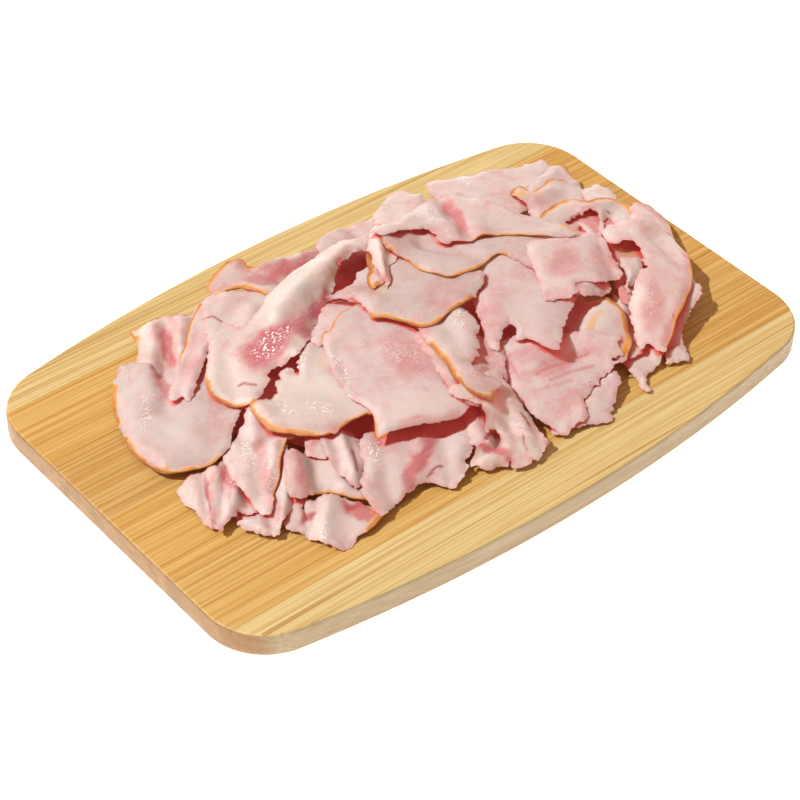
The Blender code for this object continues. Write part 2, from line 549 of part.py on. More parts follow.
      (500, 434, 11), (487, 416, 15), (474, 405, 20), (515, 425, 12), (500, 400, 19)]),
    ("slice_middle_lip", "pink",
     [(418, 326), (425, 322), (440, 312), (455, 306), (466, 310), (474, 318), (478, 328), (476, 336),
      (479, 343), (477, 350), (480, 355), (474, 357), (470, 361), (474, 367), (482, 370), (490, 372),
      (498, 375), (502, 381), (500, 384), (496, 386), (494, 390), (494, 398), (488, 397), (478, 394),
      (470, 390), (464, 385), (455, 376), (446, 364), (436, 352), (426, 341), (419, 333)],
     [(420, 332, 32), (455, 308, 36), (478, 330, 35), (480, 355, 32), (500, 380, 27), (494, 398, 22),
      (466, 387, 27), (445, 361, 31), (460, 340, 34)]),
    ("slice_right_centre_big", "pink",
     [(471, 299), (475, 308), (480, 322), (484, 335), (490, 345), (499, 351), (502, 336), (507, 327),
      (512, 325), (516, 330), (514, 337), (519, 341), (528, 340), (540, 344), (556, 348), (562, 340),
      (563, 328), (567, 316), (571, 305), (580, 290), (580, 275), (560, 262), (530, 255), (500, 250),
      (480, 255), (462, 270), (460, 285)],
     [(471, 299, 34), (484, 335, 30), (499, 351, 25), (512, 325, 31), (540, 344, 28), (556, 348, 26),
      (567, 316, 29), (580, 285, 30), (530, 260, 34), (480, 260, 35), (520, 300, 34)]),
    ("slice_centre_top", "pink",
     [(326, 298), (333, 297), (338, 296), (345, 297), (353, 298), (358, 301), (363, 304), (367, 309),
      (373, 316), (380, 316), (386, 316), (400, 319), (412, 324), (424, 326), (436, 322), (447, 314),
      (456, 307), (471, 299), (480, 288), (485, 272), (460, 262), (420, 258), (395, 255), (380, 262),
      (370, 264), (362, 267), (357, 268), (355, 276), (352, 283), (346, 288), (338, 291), (330, 294)],
     [(326, 298, 33), (352, 298, 35), (373, 316, 35), (412, 324, 35), (447, 314, 36), (471, 299, 37),
      (480, 275, 38), (420, 262, 38), (380, 266, 37), (356, 272, 33), (410, 295, 38), (345, 290, 33)]),
    ("slice_far_edge", "pink",
     [(425, 182), (440, 178), (460, 175), (480, 171), (500, 168), (515, 166), (525, 162), (540, 159),
      (547, 161), (550, 170), (540, 180), (534, 190), (530, 204), (515, 214), (497, 212), (470, 208),
      (445, 200), (430, 192)],
     [(425, 182, 18), (480, 171, 17), (540, 159, 14), (548, 170, 16), (520, 198, 22), (460, 200, 24)]),
    ("slice_far_triangle", "pale",
     [(373, 219), (384, 201), (393, 190), (403, 188), (413, 192), (425, 196), (425, 210), (412, 222),
      (398, 230), (385, 228)],
     [(373, 219, 22), (393, 190, 21), (425, 198, 25), (400, 226, 28)]),
    ("scrap_far_right", "pink",
     [(526, 190), (538, 176), (548, 168), (556, 165), (566, 165), (570, 172), (578, 180), (575, 190),
      (560, 192), (542, 194), (532, 196)],
     [(540, 176, 15), (566, 165, 13), (578, 180, 15), (535, 194, 20)]),
    ("slice_far_right_crinkled", "pink",
     [(510, 193), (520, 187), (533, 191), (542, 186), (551, 181), (565, 181), (578, 181), (583, 187),
      (588, 193), (594, 200), (582, 208), (560, 216), (540, 222), (532, 212), (525, 203), (516, 199)],
     [(510, 193, 22), (551, 181, 18), (578, 181, 16), (592, 198, 20), (540, 218, 27), (560, 200, 22)]),
    ("scrap_far_right_end", "pale",
     [(582, 190), (590, 185), (597, 183), (606, 187), (613, 193), (619, 200), (612, 206), (598, 206),
      (586, 202)],
     [(597, 183, 15), (618, 200, 18), (586, 200, 20)]),
    ("slice_far_right_arch", "pink",
     [(540, 217), (548, 209), (558, 203), (570, 199), (580, 199), (588, 200), (595, 198), (604, 197),
      (614, 199), (624, 203), (633, 208), (642, 214), (646, 222), (632, 226), (622, 222), (612, 218),
      (606, 216), (605, 223), (604, 232), (599, 234), (598, 226), (599, 216), (596, 210), (590, 208),
      (586, 210), (580, 214), (572, 217), (566, 221), (572, 223), (578, 223), (580, 229), (588, 232),
      (580, 236), (565, 234), (552, 230), (545, 225)],
     [(540, 217, 27), (560, 204, 25), (595, 198, 23), (628, 205, 24), (644, 218, 24), (606, 217, 23),
      (575, 234, 28), (550, 225, 28), (600, 232, 26)]),
    ("scrap_centre_rind", "pink",
     [(367, 251), (370, 250), (373, 258), (377, 264), (384, 272), (386, 278), (381, 282), (377, 284),
      (374, 287), (370, 285), (367, 281), (367, 274), (369, 270), (367, 262)],
     [(368, 252, 35), (386, 277, 38), (374, 286, 38), (367, 274, 36.5)]),
    ("scrap_centre_knot", "pale",
     [(368, 243), (371, 234), (378, 226), (388, 224), (398, 232), (400, 244), (396, 256), (390, 267),
      (391, 278), (388, 286), (383, 279), (378, 270), (373, 261), (369, 252)],
     [(371, 234, 29), (390, 224, 31), (398, 240, 37), (388, 284, 38), (372, 256, 35), (384, 250, 38)]),
    ("slice_far_centre_rind", "pink",
     [(384, 244), (395, 252), (408, 260), (420, 268), (435, 273), (450, 277), (462, 273), (475, 268),
      (488, 260), (500, 253), (515, 258), (530, 266), (545, 268), (555, 250), (550, 236), (530, 228),
      (505, 225), (480, 225), (455, 228), (430, 222), (410, 220), (395, 222), (385, 230), (381, 237)],
     [(384, 244, 35), (408, 260, 37), (450, 277, 37), (488, 260, 37), (530, 266, 35), (550, 240, 33),
      (480, 226, 33), (410, 221, 31), (385, 230, 32), (450, 250, 35)]),
    ("scrap_right_centre", "pink",
     [(572, 283), (583, 276), (600, 274), (610, 283), (607, 292), (592, 295), (575, 294)],
     [(575, 290, 28), (600, 276, 27), (607, 291, 24)]),
    ("slice_right_centre_flat", "pink",
     [(528, 240), (540, 237), (552, 235), (566, 234), (580, 232), (586, 230), (583, 226), (579, 221),
      (582, 219), (587, 223), (593, 228), (600, 234), (606, 240), (610, 247), (614, 255), (618, 262),
      (620, 268), (622, 275), (614, 279), (606, 280), (600, 281), (590, 280), (580, 280), (576, 283),
      (579, 289), (574, 295), (560, 299), (545, 300), (540, 290), (536, 275), (533, 262), (526, 250)],
     [(528, 240, 36), (566, 234, 34), (600, 234, 31), (612, 250, 28), (622, 274, 24), (590, 280, 29),
      (574, 295, 29), (545, 300, 32), (533, 262, 36), (570, 255, 34), (581, 221, 30)]),
    ("slice_far_ridge", "pink",
     [(370, 232), (378, 224), (392, 222), (405, 214), (418, 204), (430, 196), (445, 192), (460, 192),
      (480, 199), (500, 207), (520, 214), (540, 219), (556, 226), (577, 233), (560, 236), (540, 235),
      (520, 234), (500, 234), (480, 236), (470, 240), (458, 240), (447, 243), (440, 241), (430, 230),
      (412, 228), (400, 230), (385, 234)],
     [(372, 232, 32), (405, 214, 31), (445, 192, 28), (480, 199, 29), (520, 214, 31), (577, 233, 32),
      (520, 234, 35), (470, 240, 37), (430, 230, 36), (400, 229, 35), (385, 233, 34)]),
    ("slice_right_end_big", "pink",
     [(632, 200), (640, 201), (650, 205), (656, 210), (663, 216), (669, 223), (672, 231), (676, 240),
      (682, 249), (687, 256), (691, 264), (693, 274), (692, 284), (689, 292), (686, 300), (682, 308),
      (678, 316), (675, 325), (672, 334), (668, 343), (664, 351), (655, 348), (650, 345), (645, 347),
      (640, 349), (636, 332), (632, 318), (631, 305), (631, 295), (634, 286), (637, 279), (642, 271),
      (647, 266), (643, 262), (643, 254), (640, 247), (636, 242), (630, 239), (622, 239), (615, 241),
      (609, 240), (604, 236), (602, 231), (604, 226), (610, 222), (618, 220), (628, 216), (631, 208)],
     [(640, 201, 13), (655, 209, 10), (664, 217, 9), (674, 236, 9), (685, 252, 13), (693, 274, 16.5),
      (690, 290, 17), (684, 304, 16), (676, 325, 13), (668, 343, 10), (645, 347, 11), (632, 312, 18),
      (645, 266, 25), (636, 243, 27), (603, 232, 29), (620, 221, 25), (650, 232, 22), (665, 290, 21),
      (640, 300, 21)]),
]


def build_pile():
    for name, (cx, cy), (a, b), rim, crown, phase in BURIED:
        curve = []
        for t in np.arange(22) * 2 * math.pi / 22:
            k = 1 + 0.07 * math.sin(3 * t + phase) + 0.04 * math.sin(5 * t + 2 * phase)
            curve.append((cx + a * k * math.cos(t), cy + b * k * math.sin(t)))
        xy, tris = mesh_plan(np.array(curve), 26.0)
        rho = np.clip(((xy[:, 0] - cx) / a) ** 2 + ((xy[:, 1] - cy) / b) ** 2, 0, 1)
        z = settle(xy, tris, rim + (crown - rim) * (1 - rho))
        make_slice(name, xy, tris, z, material(name, TONES["pink"], 0.3))
    for name, tone, outline, marks in SLICES:
        uv = np.array(outline, float)
        xy = from_sheet(uv, np.mean([m[2] for m in marks]))
        for _ in range(4):
            h = smooth_height(marks, xy)
            h = h + lift_at(xy, h - SLICE)
            xy = from_sheet(uv, h)
        size = np.ptp(xy, axis=0).max()
        fine = min(7.0, max(4.0, size / 9))
        plan, tris = mesh_plan(closed_curve(xy, fine), fine * 1.5)
        want = smooth_height(marks, plan) - SLICE
        z = settle(plan, tris, want)
        report.append((name, len(plan), len(tris), float((z - want).max()), float(np.mean(z - want)),
                       float(z.min()), float(z.max())))
        make_slice(name, plan, tris, z, material(name, TONES[tone], 0.3))


build_pile()
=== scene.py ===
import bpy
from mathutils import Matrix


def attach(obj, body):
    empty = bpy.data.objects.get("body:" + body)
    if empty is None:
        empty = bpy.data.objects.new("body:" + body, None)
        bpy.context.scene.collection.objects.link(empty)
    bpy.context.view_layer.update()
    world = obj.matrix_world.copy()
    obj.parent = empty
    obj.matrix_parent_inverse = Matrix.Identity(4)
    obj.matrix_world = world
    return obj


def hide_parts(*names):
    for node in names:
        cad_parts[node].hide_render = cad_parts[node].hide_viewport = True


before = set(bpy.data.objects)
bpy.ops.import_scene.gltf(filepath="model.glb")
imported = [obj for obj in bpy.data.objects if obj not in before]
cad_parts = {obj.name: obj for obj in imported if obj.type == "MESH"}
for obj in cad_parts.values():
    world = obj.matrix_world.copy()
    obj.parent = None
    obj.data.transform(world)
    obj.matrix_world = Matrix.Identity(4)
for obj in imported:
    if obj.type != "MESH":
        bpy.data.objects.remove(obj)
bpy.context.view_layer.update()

import math

import bmesh
import bpy
import numpy as np
from mathutils import Matrix, Vector
from mathutils.geometry import delaunay_2d_cdt

# The visual model of a bamboo serving board carrying a pile of shaved deli ham.
# Lengths are millimetres until a mesh is made.  The numbers down to SLICES repeat
# the CAD source's, because this script can't read that file.

LENGTH, WIDTH, THICK = 380.0, 254.0, 14.0
BOW, CORNER, ROUND = 19.6, 34.7, 1.6
PLANK_Y, STAVES = 94.0, 4

SLICE = 0.9           # thickness of a slice away from its edge
GAP = 0.12            # clearance kept between slices

VIEW_AZ, VIEW_EL, VIEW_ROLL = math.radians(-41.28), math.radians(41.86), math.radians(2.02)
VIEW_DIST, VIEW_FOCUS = 1235.2, 2391.1
VIEW_AIM = np.array([-14.4, -8.8, 0.0])

back = np.array([math.sin(VIEW_AZ) * math.cos(VIEW_EL),
                 -math.cos(VIEW_AZ) * math.cos(VIEW_EL), math.sin(VIEW_EL)])
EYE = VIEW_AIM + back * VIEW_DIST
AHEAD = -back
_r = np.cross(AHEAD, [0.0, 0.0, 1.0])
_r /= np.linalg.norm(_r)
_u = np.cross(_r, AHEAD)
RIGHT = _r * math.cos(VIEW_ROLL) + _u * math.sin(VIEW_ROLL)
UP = -_r * math.sin(VIEW_ROLL) + _u * math.cos(VIEW_ROLL)


def from_sheet(uv, h):
    """Sheet points (n, 2) at heights h above the board's top -> plan points (n, 2)."""
    uv = np.atleast_2d(np.asarray(uv, float))
    h = np.broadcast_to(np.asarray(h, float), (len(uv),))
    d = AHEAD + RIGHT * ((uv[:, :1] - 400.0) / VIEW_FOCUS) - UP * ((uv[:, 1:] - 400.0) / VIEW_FOCUS)
    t = (THICK + h - EYE[2]) / d[:, 2]
    return EYE[:2] + d[:, :2] * t[:, None]


def to_sheet(xy, h):
    """Plan points at heights h above the board's top -> sheet points."""
    p = np.c_[xy, np.asarray(h, float) + THICK] - EYE
    z = p @ AHEAD
    return np.c_[400 + VIEW_FOCUS * (p @ RIGHT) / z, 400 - VIEW_FOCUS * (p @ UP) / z]


def smooth_height(marks, xy):
    """Gentle interpolation of heights through a slice's marks, in plan."""
    m = np.array(marks, float)
    p = from_sheet(m[:, :2], m[:, 2])
    soft = 12.0

    def kernel(a, b):
        d2 = ((a[:, None, :] - b[None, :, :]) ** 2).sum(2)
        return np.sqrt(d2 + soft * soft)
    n = len(p)
    A = np.zeros((n + 1, n + 1))
    A[:n, :n] = kernel(p, p) - np.eye(n) * 2.0
    A[:n, n] = A[n, :n] = 1.0
    w = np.linalg.solve(A, np.append(m[:, 2], 0.0))
    z = kernel(np.atleast_2d(xy), p) @ w[:n] + w[n]
    return np.clip(z, m[:, 2].min() - 2.0, m[:, 2].max() + 2.5)


def closed_curve(pts, step):
    """Closed Catmull-Rom curve through pts, resampled at about the given step."""
    p = np.asarray(pts, float)
    n = len(p)
    out = []
    for i in range(n):
        a, b, c, d = p[i - 1], p[i], p[(i + 1) % n], p[(i + 2) % n]
        for t in np.arange(0.0, 1.0, 0.05):
            out.append(0.5 * (2 * b + (c - a) * t + (2 * a - 5 * b + 4 * c - d) * t * t
                              + (3 * b - a - 3 * c + d) * t ** 3))
    q = np.array(out)
    s = np.append(0.0, np.cumsum(np.linalg.norm(np.diff(np.vstack([q, q[:1]]), axis=0), axis=1)))
    m = max(12, int(round(s[-1] / step)))
    want = np.arange(m) * s[-1] / m
    q = np.vstack([q, q[:1]])
    return np.c_[np.interp(want, s, q[:, 0]), np.interp(want, s, q[:, 1])]


def inside(poly, pts):
    """Which points lie inside a closed polygon."""
    x, y = pts[:, 0], pts[:, 1]
    res = np.zeros(len(pts), bool)
    for (x0, y0), (x1, y1) in zip(poly, np.roll(poly, -1, axis=0)):
        if y0 == y1:
            continue
        hit = (y0 > y) != (y1 > y)
        res ^= hit & (x < (x1 - x0) * (y - y0) / (y1 - y0) + x0)
    return res


def path_distance(path, pts, closed=False):
    """Distance from points to a path, and how far along the path the nearest point is."""
    best, where, run = np.full(len(pts), 1e9), np.zeros(len(pts)), 0.0
    ends = np.roll(path, -1, axis=0) if closed else path[1:]
    for a, b in zip(path, ends):
        ab = b - a
        t = np.clip(((pts - a) @ ab) / max(ab @ ab, 1e-9), 0, 1)
        d = np.hypot(*(pts - a - t[:, None] * ab).T)
        near = d < best
        best = np.where(near, d, best)
        long = math.hypot(*ab)
        where = np.where(near, run + t * long, where)
        run += long
    return best, where


def ramp(x, lo, hi):
    """0 at lo, 1 at hi, eased."""
    t = np.clip((x - lo) / (hi - lo), 0.0, 1.0)
    return t * t * (3 - 2 * t)


def lattice(ix, iy, seed):
    """A repeatable random number from 0 to 1 for each lattice point."""
    h = (ix.astype(np.int64) * 374761393 + iy.astype(np.int64) * 668265263 + seed * 1442695041) & 0xFFFFFFFF
    h = ((h ^ (h >> 13)) * 1274126177) & 0xFFFFFFFF
    return ((h ^ (h >> 16)) & 0xFFFFFF) / float(0xFFFFFF)


def noise(p, seed):
    """Smooth value noise from -1 to 1 at points (n, 2), one cell per unit."""
    i = np.floor(p).astype(np.int64)
    f = p - i
    f = f * f * f * (f * (f * 6 - 15) + 10)
    a = lattice(i[:, 0], i[:, 1], seed)
    b = lattice(i[:, 0] + 1, i[:, 1], seed)
    c = lattice(i[:, 0], i[:, 1] + 1, seed)
    d = lattice(i[:, 0] + 1, i[:, 1] + 1, seed)
    return 2 * ((a * (1 - f[:, 0]) + b * f[:, 0]) * (1 - f[:, 1])
                + (c * (1 - f[:, 0]) + d * f[:, 0]) * f[:, 1]) - 1


# Slices from the bottom of the pile to the top: name, tone, outline on the
# drafting sheet and heights (u, v, mm above the board), as in the CAD source.
SLICES = [
    # (name, tone, outline, heights)
    ("scrap_far_left", "muscle",
     [(150, 322), (158, 317), (170, 314), (184, 312), (192, 318), (198, 330), (180, 338), (160, 336)],
     [(150, 322, 9), (184, 313, 12), (190, 335, 12)]),
    ("slice_far_left", "pale",
     [(130, 332), (141, 326), (155, 322), (170, 319), (188, 315), (203, 303), (212, 318), (205, 350),
      (190, 385), (165, 392), (148, 380), (137, 362), (138, 345)],
     [(135, 330, 8), (137, 362, 7), (170, 320, 11), (203, 303, 15), (190, 380, 11), (165, 350, 9)]),
    ("slice_left_round", "pink",
     [(117, 367), (113, 383), (113, 400), (116, 415), (121, 430), (128, 443), (138, 455), (150, 464),
      (163, 469), (177, 470), (190, 468), (203, 466), (213, 462), (222, 454), (230, 444), (231, 436),
      (234, 427), (238, 417), (243, 408), (247, 399), (240, 380), (225, 370), (205, 365), (190, 362),
      (176, 366), (166, 364), (160, 374), (154, 366), (136, 360), (127, 363)],
     [(117, 367, 8), (113, 392, 4.5), (128, 443, 5.5), (163, 469, 7), (190, 468, 7), (213, 462, 7.5),
      (234, 424, 14), (180, 430, 10), (160, 376, 11), (180, 390, 12), (225, 375, 16), (140, 400, 8)]),
    ("slice_left_tall", "pink",
     [(205, 296), (199, 304), (195, 311), (191, 320), (188, 332), (184, 345), (180, 352), (176, 367),
      (173, 380), (170, 398), (175, 400), (179, 397), (183, 396), (186, 399), (190, 401), (193, 396),
      (196, 387), (200, 376), (204, 364), (208, 352), (213, 343), (222, 338), (236, 330), (242, 316),
      (232, 300), (217, 292)],
     [(205, 297, 20), (188, 332, 16), (176, 367, 14), (171, 399, 12), (191, 400, 13), (204, 364, 19),
      (222, 338, 22), (240, 318, 22)]),
    ("slice_left_middle", "pink",
     [(203, 298), (225, 290), (250, 288), (275, 295), (268, 320), (250, 340), (232, 358), (215, 360),
      (208, 342), (203, 325), (202, 310)],
     [(203, 298, 20), (225, 290, 21), (270, 298, 24), (250, 335, 24), (210, 345, 19), (230, 320, 21)]),
    ("slice_far_left_dark", "muscle",
     [(206, 288), (209, 280), (213, 272), (220, 266), (228, 261), (237, 258), (243, 258), (249, 264),
      (262, 263), (275, 258), (300, 251), (315, 246), (326, 238), (345, 245), (345, 265), (320, 278),
      (300, 290), (280, 300), (268, 297), (260, 291), (250, 288), (240, 287), (230, 289), (222, 291),
      (212, 292)],
     [(206, 288, 16), (220, 266, 17), (243, 258, 19), (262, 263, 20), (300, 251, 21), (326, 240, 20),
      (268, 295, 24), (224, 291, 20), (250, 275, 20), (330, 262, 19)]),
    ("slice_far_middle", "pale",
     [(316, 246), (323, 234), (335, 229), (350, 226), (362, 221), (373, 218), (385, 222), (390, 240),
      (380, 255), (360, 262), (340, 262), (325, 258)],
     [(318, 244, 20), (323, 234, 20), (350, 227, 20), (373, 219, 21), (385, 240, 21), (350, 255, 17)]),
    ("slice_near_left_tip", "pale",
     [(177, 490), (180, 484), (186, 478), (193, 472), (203, 468), (215, 466), (228, 470), (225, 490),
      (222, 510), (218, 527), (212, 530), (205, 525), (198, 515), (190, 507), (184, 501)],
     [(177, 490, 3), (193, 472, 6), (215, 468, 9), (205, 500, 4), (212, 528, 2.5), (220, 505, 6)]),
    ("scrap_near_left", "pink",
     [(234, 509), (248, 500), (262, 505), (264, 516), (252, 522), (240, 520)],
     [(238, 515, 3), (260, 505, 5), (252, 521, 3)]),
    ("slice_near_left_fan", "pink",
     [(224, 462), (235, 452), (250, 460), (262, 480), (266, 500), (258, 511), (248, 513), (238, 513),
      (235, 519), (226, 525), (223, 530), (218, 531), (214, 524), (212, 510), (210, 497), (213, 484),
      (218, 470)],
     [(222, 462, 10), (250, 462, 9.5), (262, 500, 6), (236, 519, 4), (217, 530, 2.5), (211, 495, 6),
      (235, 490, 6.5)]),
    ("scrap_near", "pink",
     [(286, 494), (302, 494), (306, 508), (308, 518), (302, 526), (296, 533), (284, 524), (286, 510)],
     [(290, 500, 8), (296, 532, 3), (304, 510, 6)]),
    ("slice_near_low", "pink",
     [(312, 496), (330, 492), (350, 498), (368, 506), (383, 513), (378, 521), (370, 530), (357, 537),
      (352, 543), (344, 547), (330, 544), (318, 541), (308, 536), (298, 528), (304, 522), (307, 516),
      (303, 509), (304, 499)],
     [(330, 496, 9), (383, 513, 4), (370, 530, 3), (344, 547, 2.5), (318, 541, 3), (298, 528, 3),
      (305, 505, 7), (340, 520, 6)]),
    ("slice_near_left_curl", "pink",
     [(237, 515), (250, 513), (262, 510), (270, 500), (274, 480), (278, 462), (283, 448), (290, 455),
      (293, 480), (292, 500), (289, 513), (283, 524), (279, 536), (268, 535), (256, 532), (246, 526)],
     [(237, 515, 4), (256, 532, 3), (279, 536, 3), (286, 510, 6), (283, 452, 15), (274, 490, 9)]),
    ("slice_left_hollow", "muscle",
     [(238, 372), (252, 360), (270, 350), (290, 340), (314, 326), (322, 345), (308, 375), (292, 400),
      (276, 414), (258, 414), (244, 408), (236, 392)],
     [(240, 375, 15), (314, 328, 22), (305, 375, 19), (276, 412, 14), (258, 412, 13.5),
      (270, 370, 17)]),
    ("slice_near_left_middle", "pink",
     [(246, 408), (243, 420), (239, 430), (234, 440), (229, 449), (223, 457), (226, 468), (238, 484),
      (250, 500), (262, 514), (272, 512), (275, 492), (279, 478), (281, 462), (283, 448), (290, 438),
      (300, 432), (300, 415), (280, 405), (262, 398)],
     [(246, 408, 13), (224, 457, 8), (234, 440, 9.5), (250, 500, 6), (263, 514, 5), (272, 512, 6),
      (281, 460, 12), (295, 430, 12), (260, 450, 10.5), (262, 400, 13)]),
    ("slice_near_flap", "pink",
     [(284, 456), (300, 450), (312, 446), (326, 446), (338, 465), (350, 478), (364, 485), (369, 497),
      (355, 497), (340, 494), (328, 491), (315, 492), (303, 497), (290, 496), (286, 488), (284, 475)],
     [(300, 452, 10), (326, 448, 10), (364, 486, 7), (369, 497, 6), (340, 494, 6), (303, 497, 7),
      (288, 490, 7), (284, 460, 10), (320, 475, 9)]),
    ("scrap_near_upper", "pale",
     [(303, 430), (312, 424), (322, 430), (328, 445), (328, 456), (315, 457), (306, 452), (304, 442)],
     [(312, 428, 12.5), (315, 456, 11), (305, 440, 12)]),
    ("slice_near_tongue", "pink",
     [(318, 428), (335, 428), (352, 430), (362, 445), (365, 463), (365, 478), (357, 488), (350, 484),
      (340, 475), (332, 466), (327, 455), (321, 443)],
     [(320, 430, 13), (350, 432, 12.5), (365, 465, 9.5), (357, 488, 7.5), (332, 466, 11)]),
    ("slice_near_hanging", "pink",
     [(360, 440), (372, 424), (385, 412), (420, 404), (455, 398), (472, 402), (480, 414), (481, 428),
      (478, 437), (471, 447), (467, 456), (468, 464), (462, 475), (458, 482), (452, 486), (442, 484),
      (431, 479), (423, 482), (415, 488), (405, 496), (395, 504), (384, 514), (377, 511), (367, 500),
      (362, 486), (364, 465)],
     [(370, 430, 11), (420, 408, 12), (472, 403, 15), (481, 428, 12), (468, 462, 8), (458, 482, 4.5),
      (431, 480, 4.5), (405, 496, 3.5), (384, 514, 3), (367, 500, 4.5), (364, 465, 9.5),
      (420, 450, 11)]),
    ("slice_near_right_hollow", "pink",
     [(466, 396), (480, 398), (494, 408), (506, 424), (506, 440), (500, 448), (486, 448), (474, 446),
      (468, 436), (464, 415)],
     [(470, 400, 14), (500, 415, 12), (502, 440, 6), (476, 444, 6), (468, 420, 10), (486, 425, 10)]),
    ("slice_right_outer", "pink",
     [(688, 276), (696, 281), (701, 284), (702, 290), (699, 298), (693, 306), (688, 316), (685, 326),
      (682, 335), (686, 346), (680, 352), (662, 352), (650, 340), (655, 315), (668, 290)],
     [(698, 283, 13.5), (700, 291, 13.5), (688, 316, 10.5), (684, 330, 8), (686, 346, 4),
      (664, 350, 5), (655, 320, 11)]),
    ("scrap_right", "pale",
     [(666, 357), (670, 347), (680, 345), (691, 356), (682, 359), (668, 361)],
     [(670, 347, 2.5), (691, 356, 2), (668, 361, 2)]),
    ("slice_right_low", "pale",
     [(618, 345), (625, 325), (645, 322), (662, 345), (663, 357), (656, 366), (648, 373), (646, 381),
      (649, 390), (641, 385), (633, 374), (625, 363)],
     [(625, 330, 12), (655, 335, 9), (663, 357, 4), (649, 389, 2.5), (633, 374, 4), (625, 363, 6)]),
    ("strip_right", "pale",
     [(612, 292), (624, 296), (631, 304), (634, 320), (638, 336), (642, 352), (630, 356), (624, 345),
      (627, 333), (622, 318), (616, 306)],
     [(615, 295, 18), (634, 320, 14), (640, 352, 9)]),
    ("slice_right_hollow", "muscle",
     [(556, 214), (572, 205), (590, 203), (610, 206), (628, 212), (645, 222), (652, 240), (650, 262),
      (642, 280), (634, 300), (622, 300), (616, 284), (610, 268), (604, 250), (596, 240), (580, 236),
      (562, 230)],
     [(558, 214, 22), (600, 204, 20), (645, 225, 20), (650, 262, 18), (630, 298, 15), (612, 270, 21),
      (598, 240, 25), (625, 245, 20)]),
    ("scrap_right_upper", "pink",
     [(620, 256), (630, 256), (641, 256), (643, 264), (640, 272), (636, 279), (631, 287), (628, 293),
      (626, 286), (624, 274), (621, 265)],
     [(620, 257, 22), (641, 257, 23), (628, 291, 18)]),
    ("slice_right_middle", "pink",
     [(562, 340), (560, 322), (564, 306), (572, 297), (584, 294), (592, 298), (599, 296), (606, 297),
      (613, 301), (619, 306), (624, 313), (627, 320), (629, 331), (632, 341), (630, 350), (622, 358),
      (600, 350)],
     [(562, 320, 14), (575, 298, 18), (600, 297, 23), (620, 307, 20), (630, 340, 13), (622, 357, 11),
      (592, 335, 19), (600, 318, 22)]),
    ("slice_near_right_corner", "pink",
     [(575, 400), (590, 385), (605, 372), (616, 368), (620, 379), (617, 388), (615, 402), (612, 409),
      (612, 418), (592, 422), (576, 428), (558, 434), (550, 425), (560, 410)],
     [(616, 370, 10), (615, 402, 4), (612, 417, 3), (576, 428, 3), (558, 433, 3), (585, 395, 9)]),
    ("slice_near_right_big", "pink",
     [(498, 342), (515, 335), (545, 335), (575, 330), (600, 330), (612, 334), (621, 335), (618, 345),
      (622, 351), (612, 358), (619, 361), (613, 367), (602, 377), (596, 383), (591, 391), (585, 397),
      (585, 406), (588, 413), (583, 421), (571, 429), (564, 432), (553, 426), (544, 420), (536, 416),
      (527, 405), (518, 397), (511, 386), (506, 376), (501, 365), (499, 353)],
     [(500, 345, 26), (545, 337, 26), (600, 332, 18), (620, 340, 14), (613, 366, 10), (585, 400, 7),
      (583, 421, 5), (565, 431, 4), (544, 420, 8), (518, 397, 16), (501, 365, 22), (555, 375, 17)]),
    ("slice_near_middle_big", "pale",
     [(249, 405), (252, 411), (257, 417), (263, 421), (268, 425), (280, 427), (290, 428), (301, 430),
      (313, 430), (327, 430), (338, 426), (347, 421), (352, 418), (360, 416), (367, 413), (372, 413),
      (390, 400), (400, 380), (390, 350), (370, 325), (350, 315), (335, 322), (326, 331), (318, 334),
      (310, 340), (304, 346), (300, 353), (297, 360), (297, 367), (298, 374), (295, 370), (290, 367),
      (284, 368), (280, 371), (282, 376), (277, 379), (275, 384), (277, 390), (274, 394), (271, 399),
      (263, 400), (256, 401)],
     [(249, 406, 20), (268, 426, 19), (305, 430, 19), (347, 422, 21), (372, 413, 22), (395, 395, 24),
      (390, 350, 28), (350, 315, 29), (310, 340, 28), (299, 365, 26), (277, 379, 23), (263, 400, 20),
      (300, 400, 23), (340, 370, 28)]),
    ("slice_centre_hollow", "muscle",
     [(318, 312), (326, 296), (334, 280), (340, 264), (352, 252), (366, 246), (378, 252), (380, 275),
      (372, 295), (352, 302), (334, 306)],
     [(320, 310, 19), (340, 264, 15), (360, 250, 16), (378, 262, 18), (365, 295, 21), (340, 300, 18),
      (352, 275, 15)]),
    ("slice_left_big_fold", "pale",
     [(205, 380), (208, 388), (212, 394), (220, 398), (226, 401), (236, 403), (248, 402), (257, 398),
      (261, 392), (262, 388), (267, 383), (270, 378), (267, 373), (270, 368), (275, 364), (279, 362),
      (284, 363), (286, 359), (291, 357), (296, 354), (301, 350), (305, 344), (308, 339), (310, 331),
      (315, 321), (320, 312), (324, 303), (326, 296), (330, 288), (333, 280), (338, 268), (341, 262),
      (346, 258), (352, 254), (360, 251), (369, 250), (374, 240), (360, 236), (345, 238), (322, 251),
      (300, 265), (285, 277), (268, 293), (262, 302), (252, 318), (242, 326), (228, 324), (218, 330),
      (212, 338), (208, 346), (207, 356), (205, 368)],
     [(205, 380, 20), (220, 398, 19.5), (248, 402, 20.5), (272, 367, 25), (301, 350, 28),
      (310, 330, 28), (324, 303, 28), (340, 262, 31), (372, 245, 31), (322, 251, 29), (268, 293, 29),
      (245, 323, 27), (208, 345, 24), (250, 350, 25), (280, 330, 29), (300, 290, 35), (225, 365, 23)]),
    ("slice_centre_flap", "pink",
     [(311, 338), (312, 330), (316, 321), (320, 313), (324, 306), (330, 302), (338, 300), (347, 300),
      (356, 302), (364, 304), (362, 314), (350, 326), (338, 336), (326, 342), (316, 344)],
     [(311, 336, 28), (320, 313, 27), (338, 301, 27.5), (362, 304, 29), (350, 325, 29),
      (326, 340, 29)]),
    ("slice_near_middle_disk", "pink",
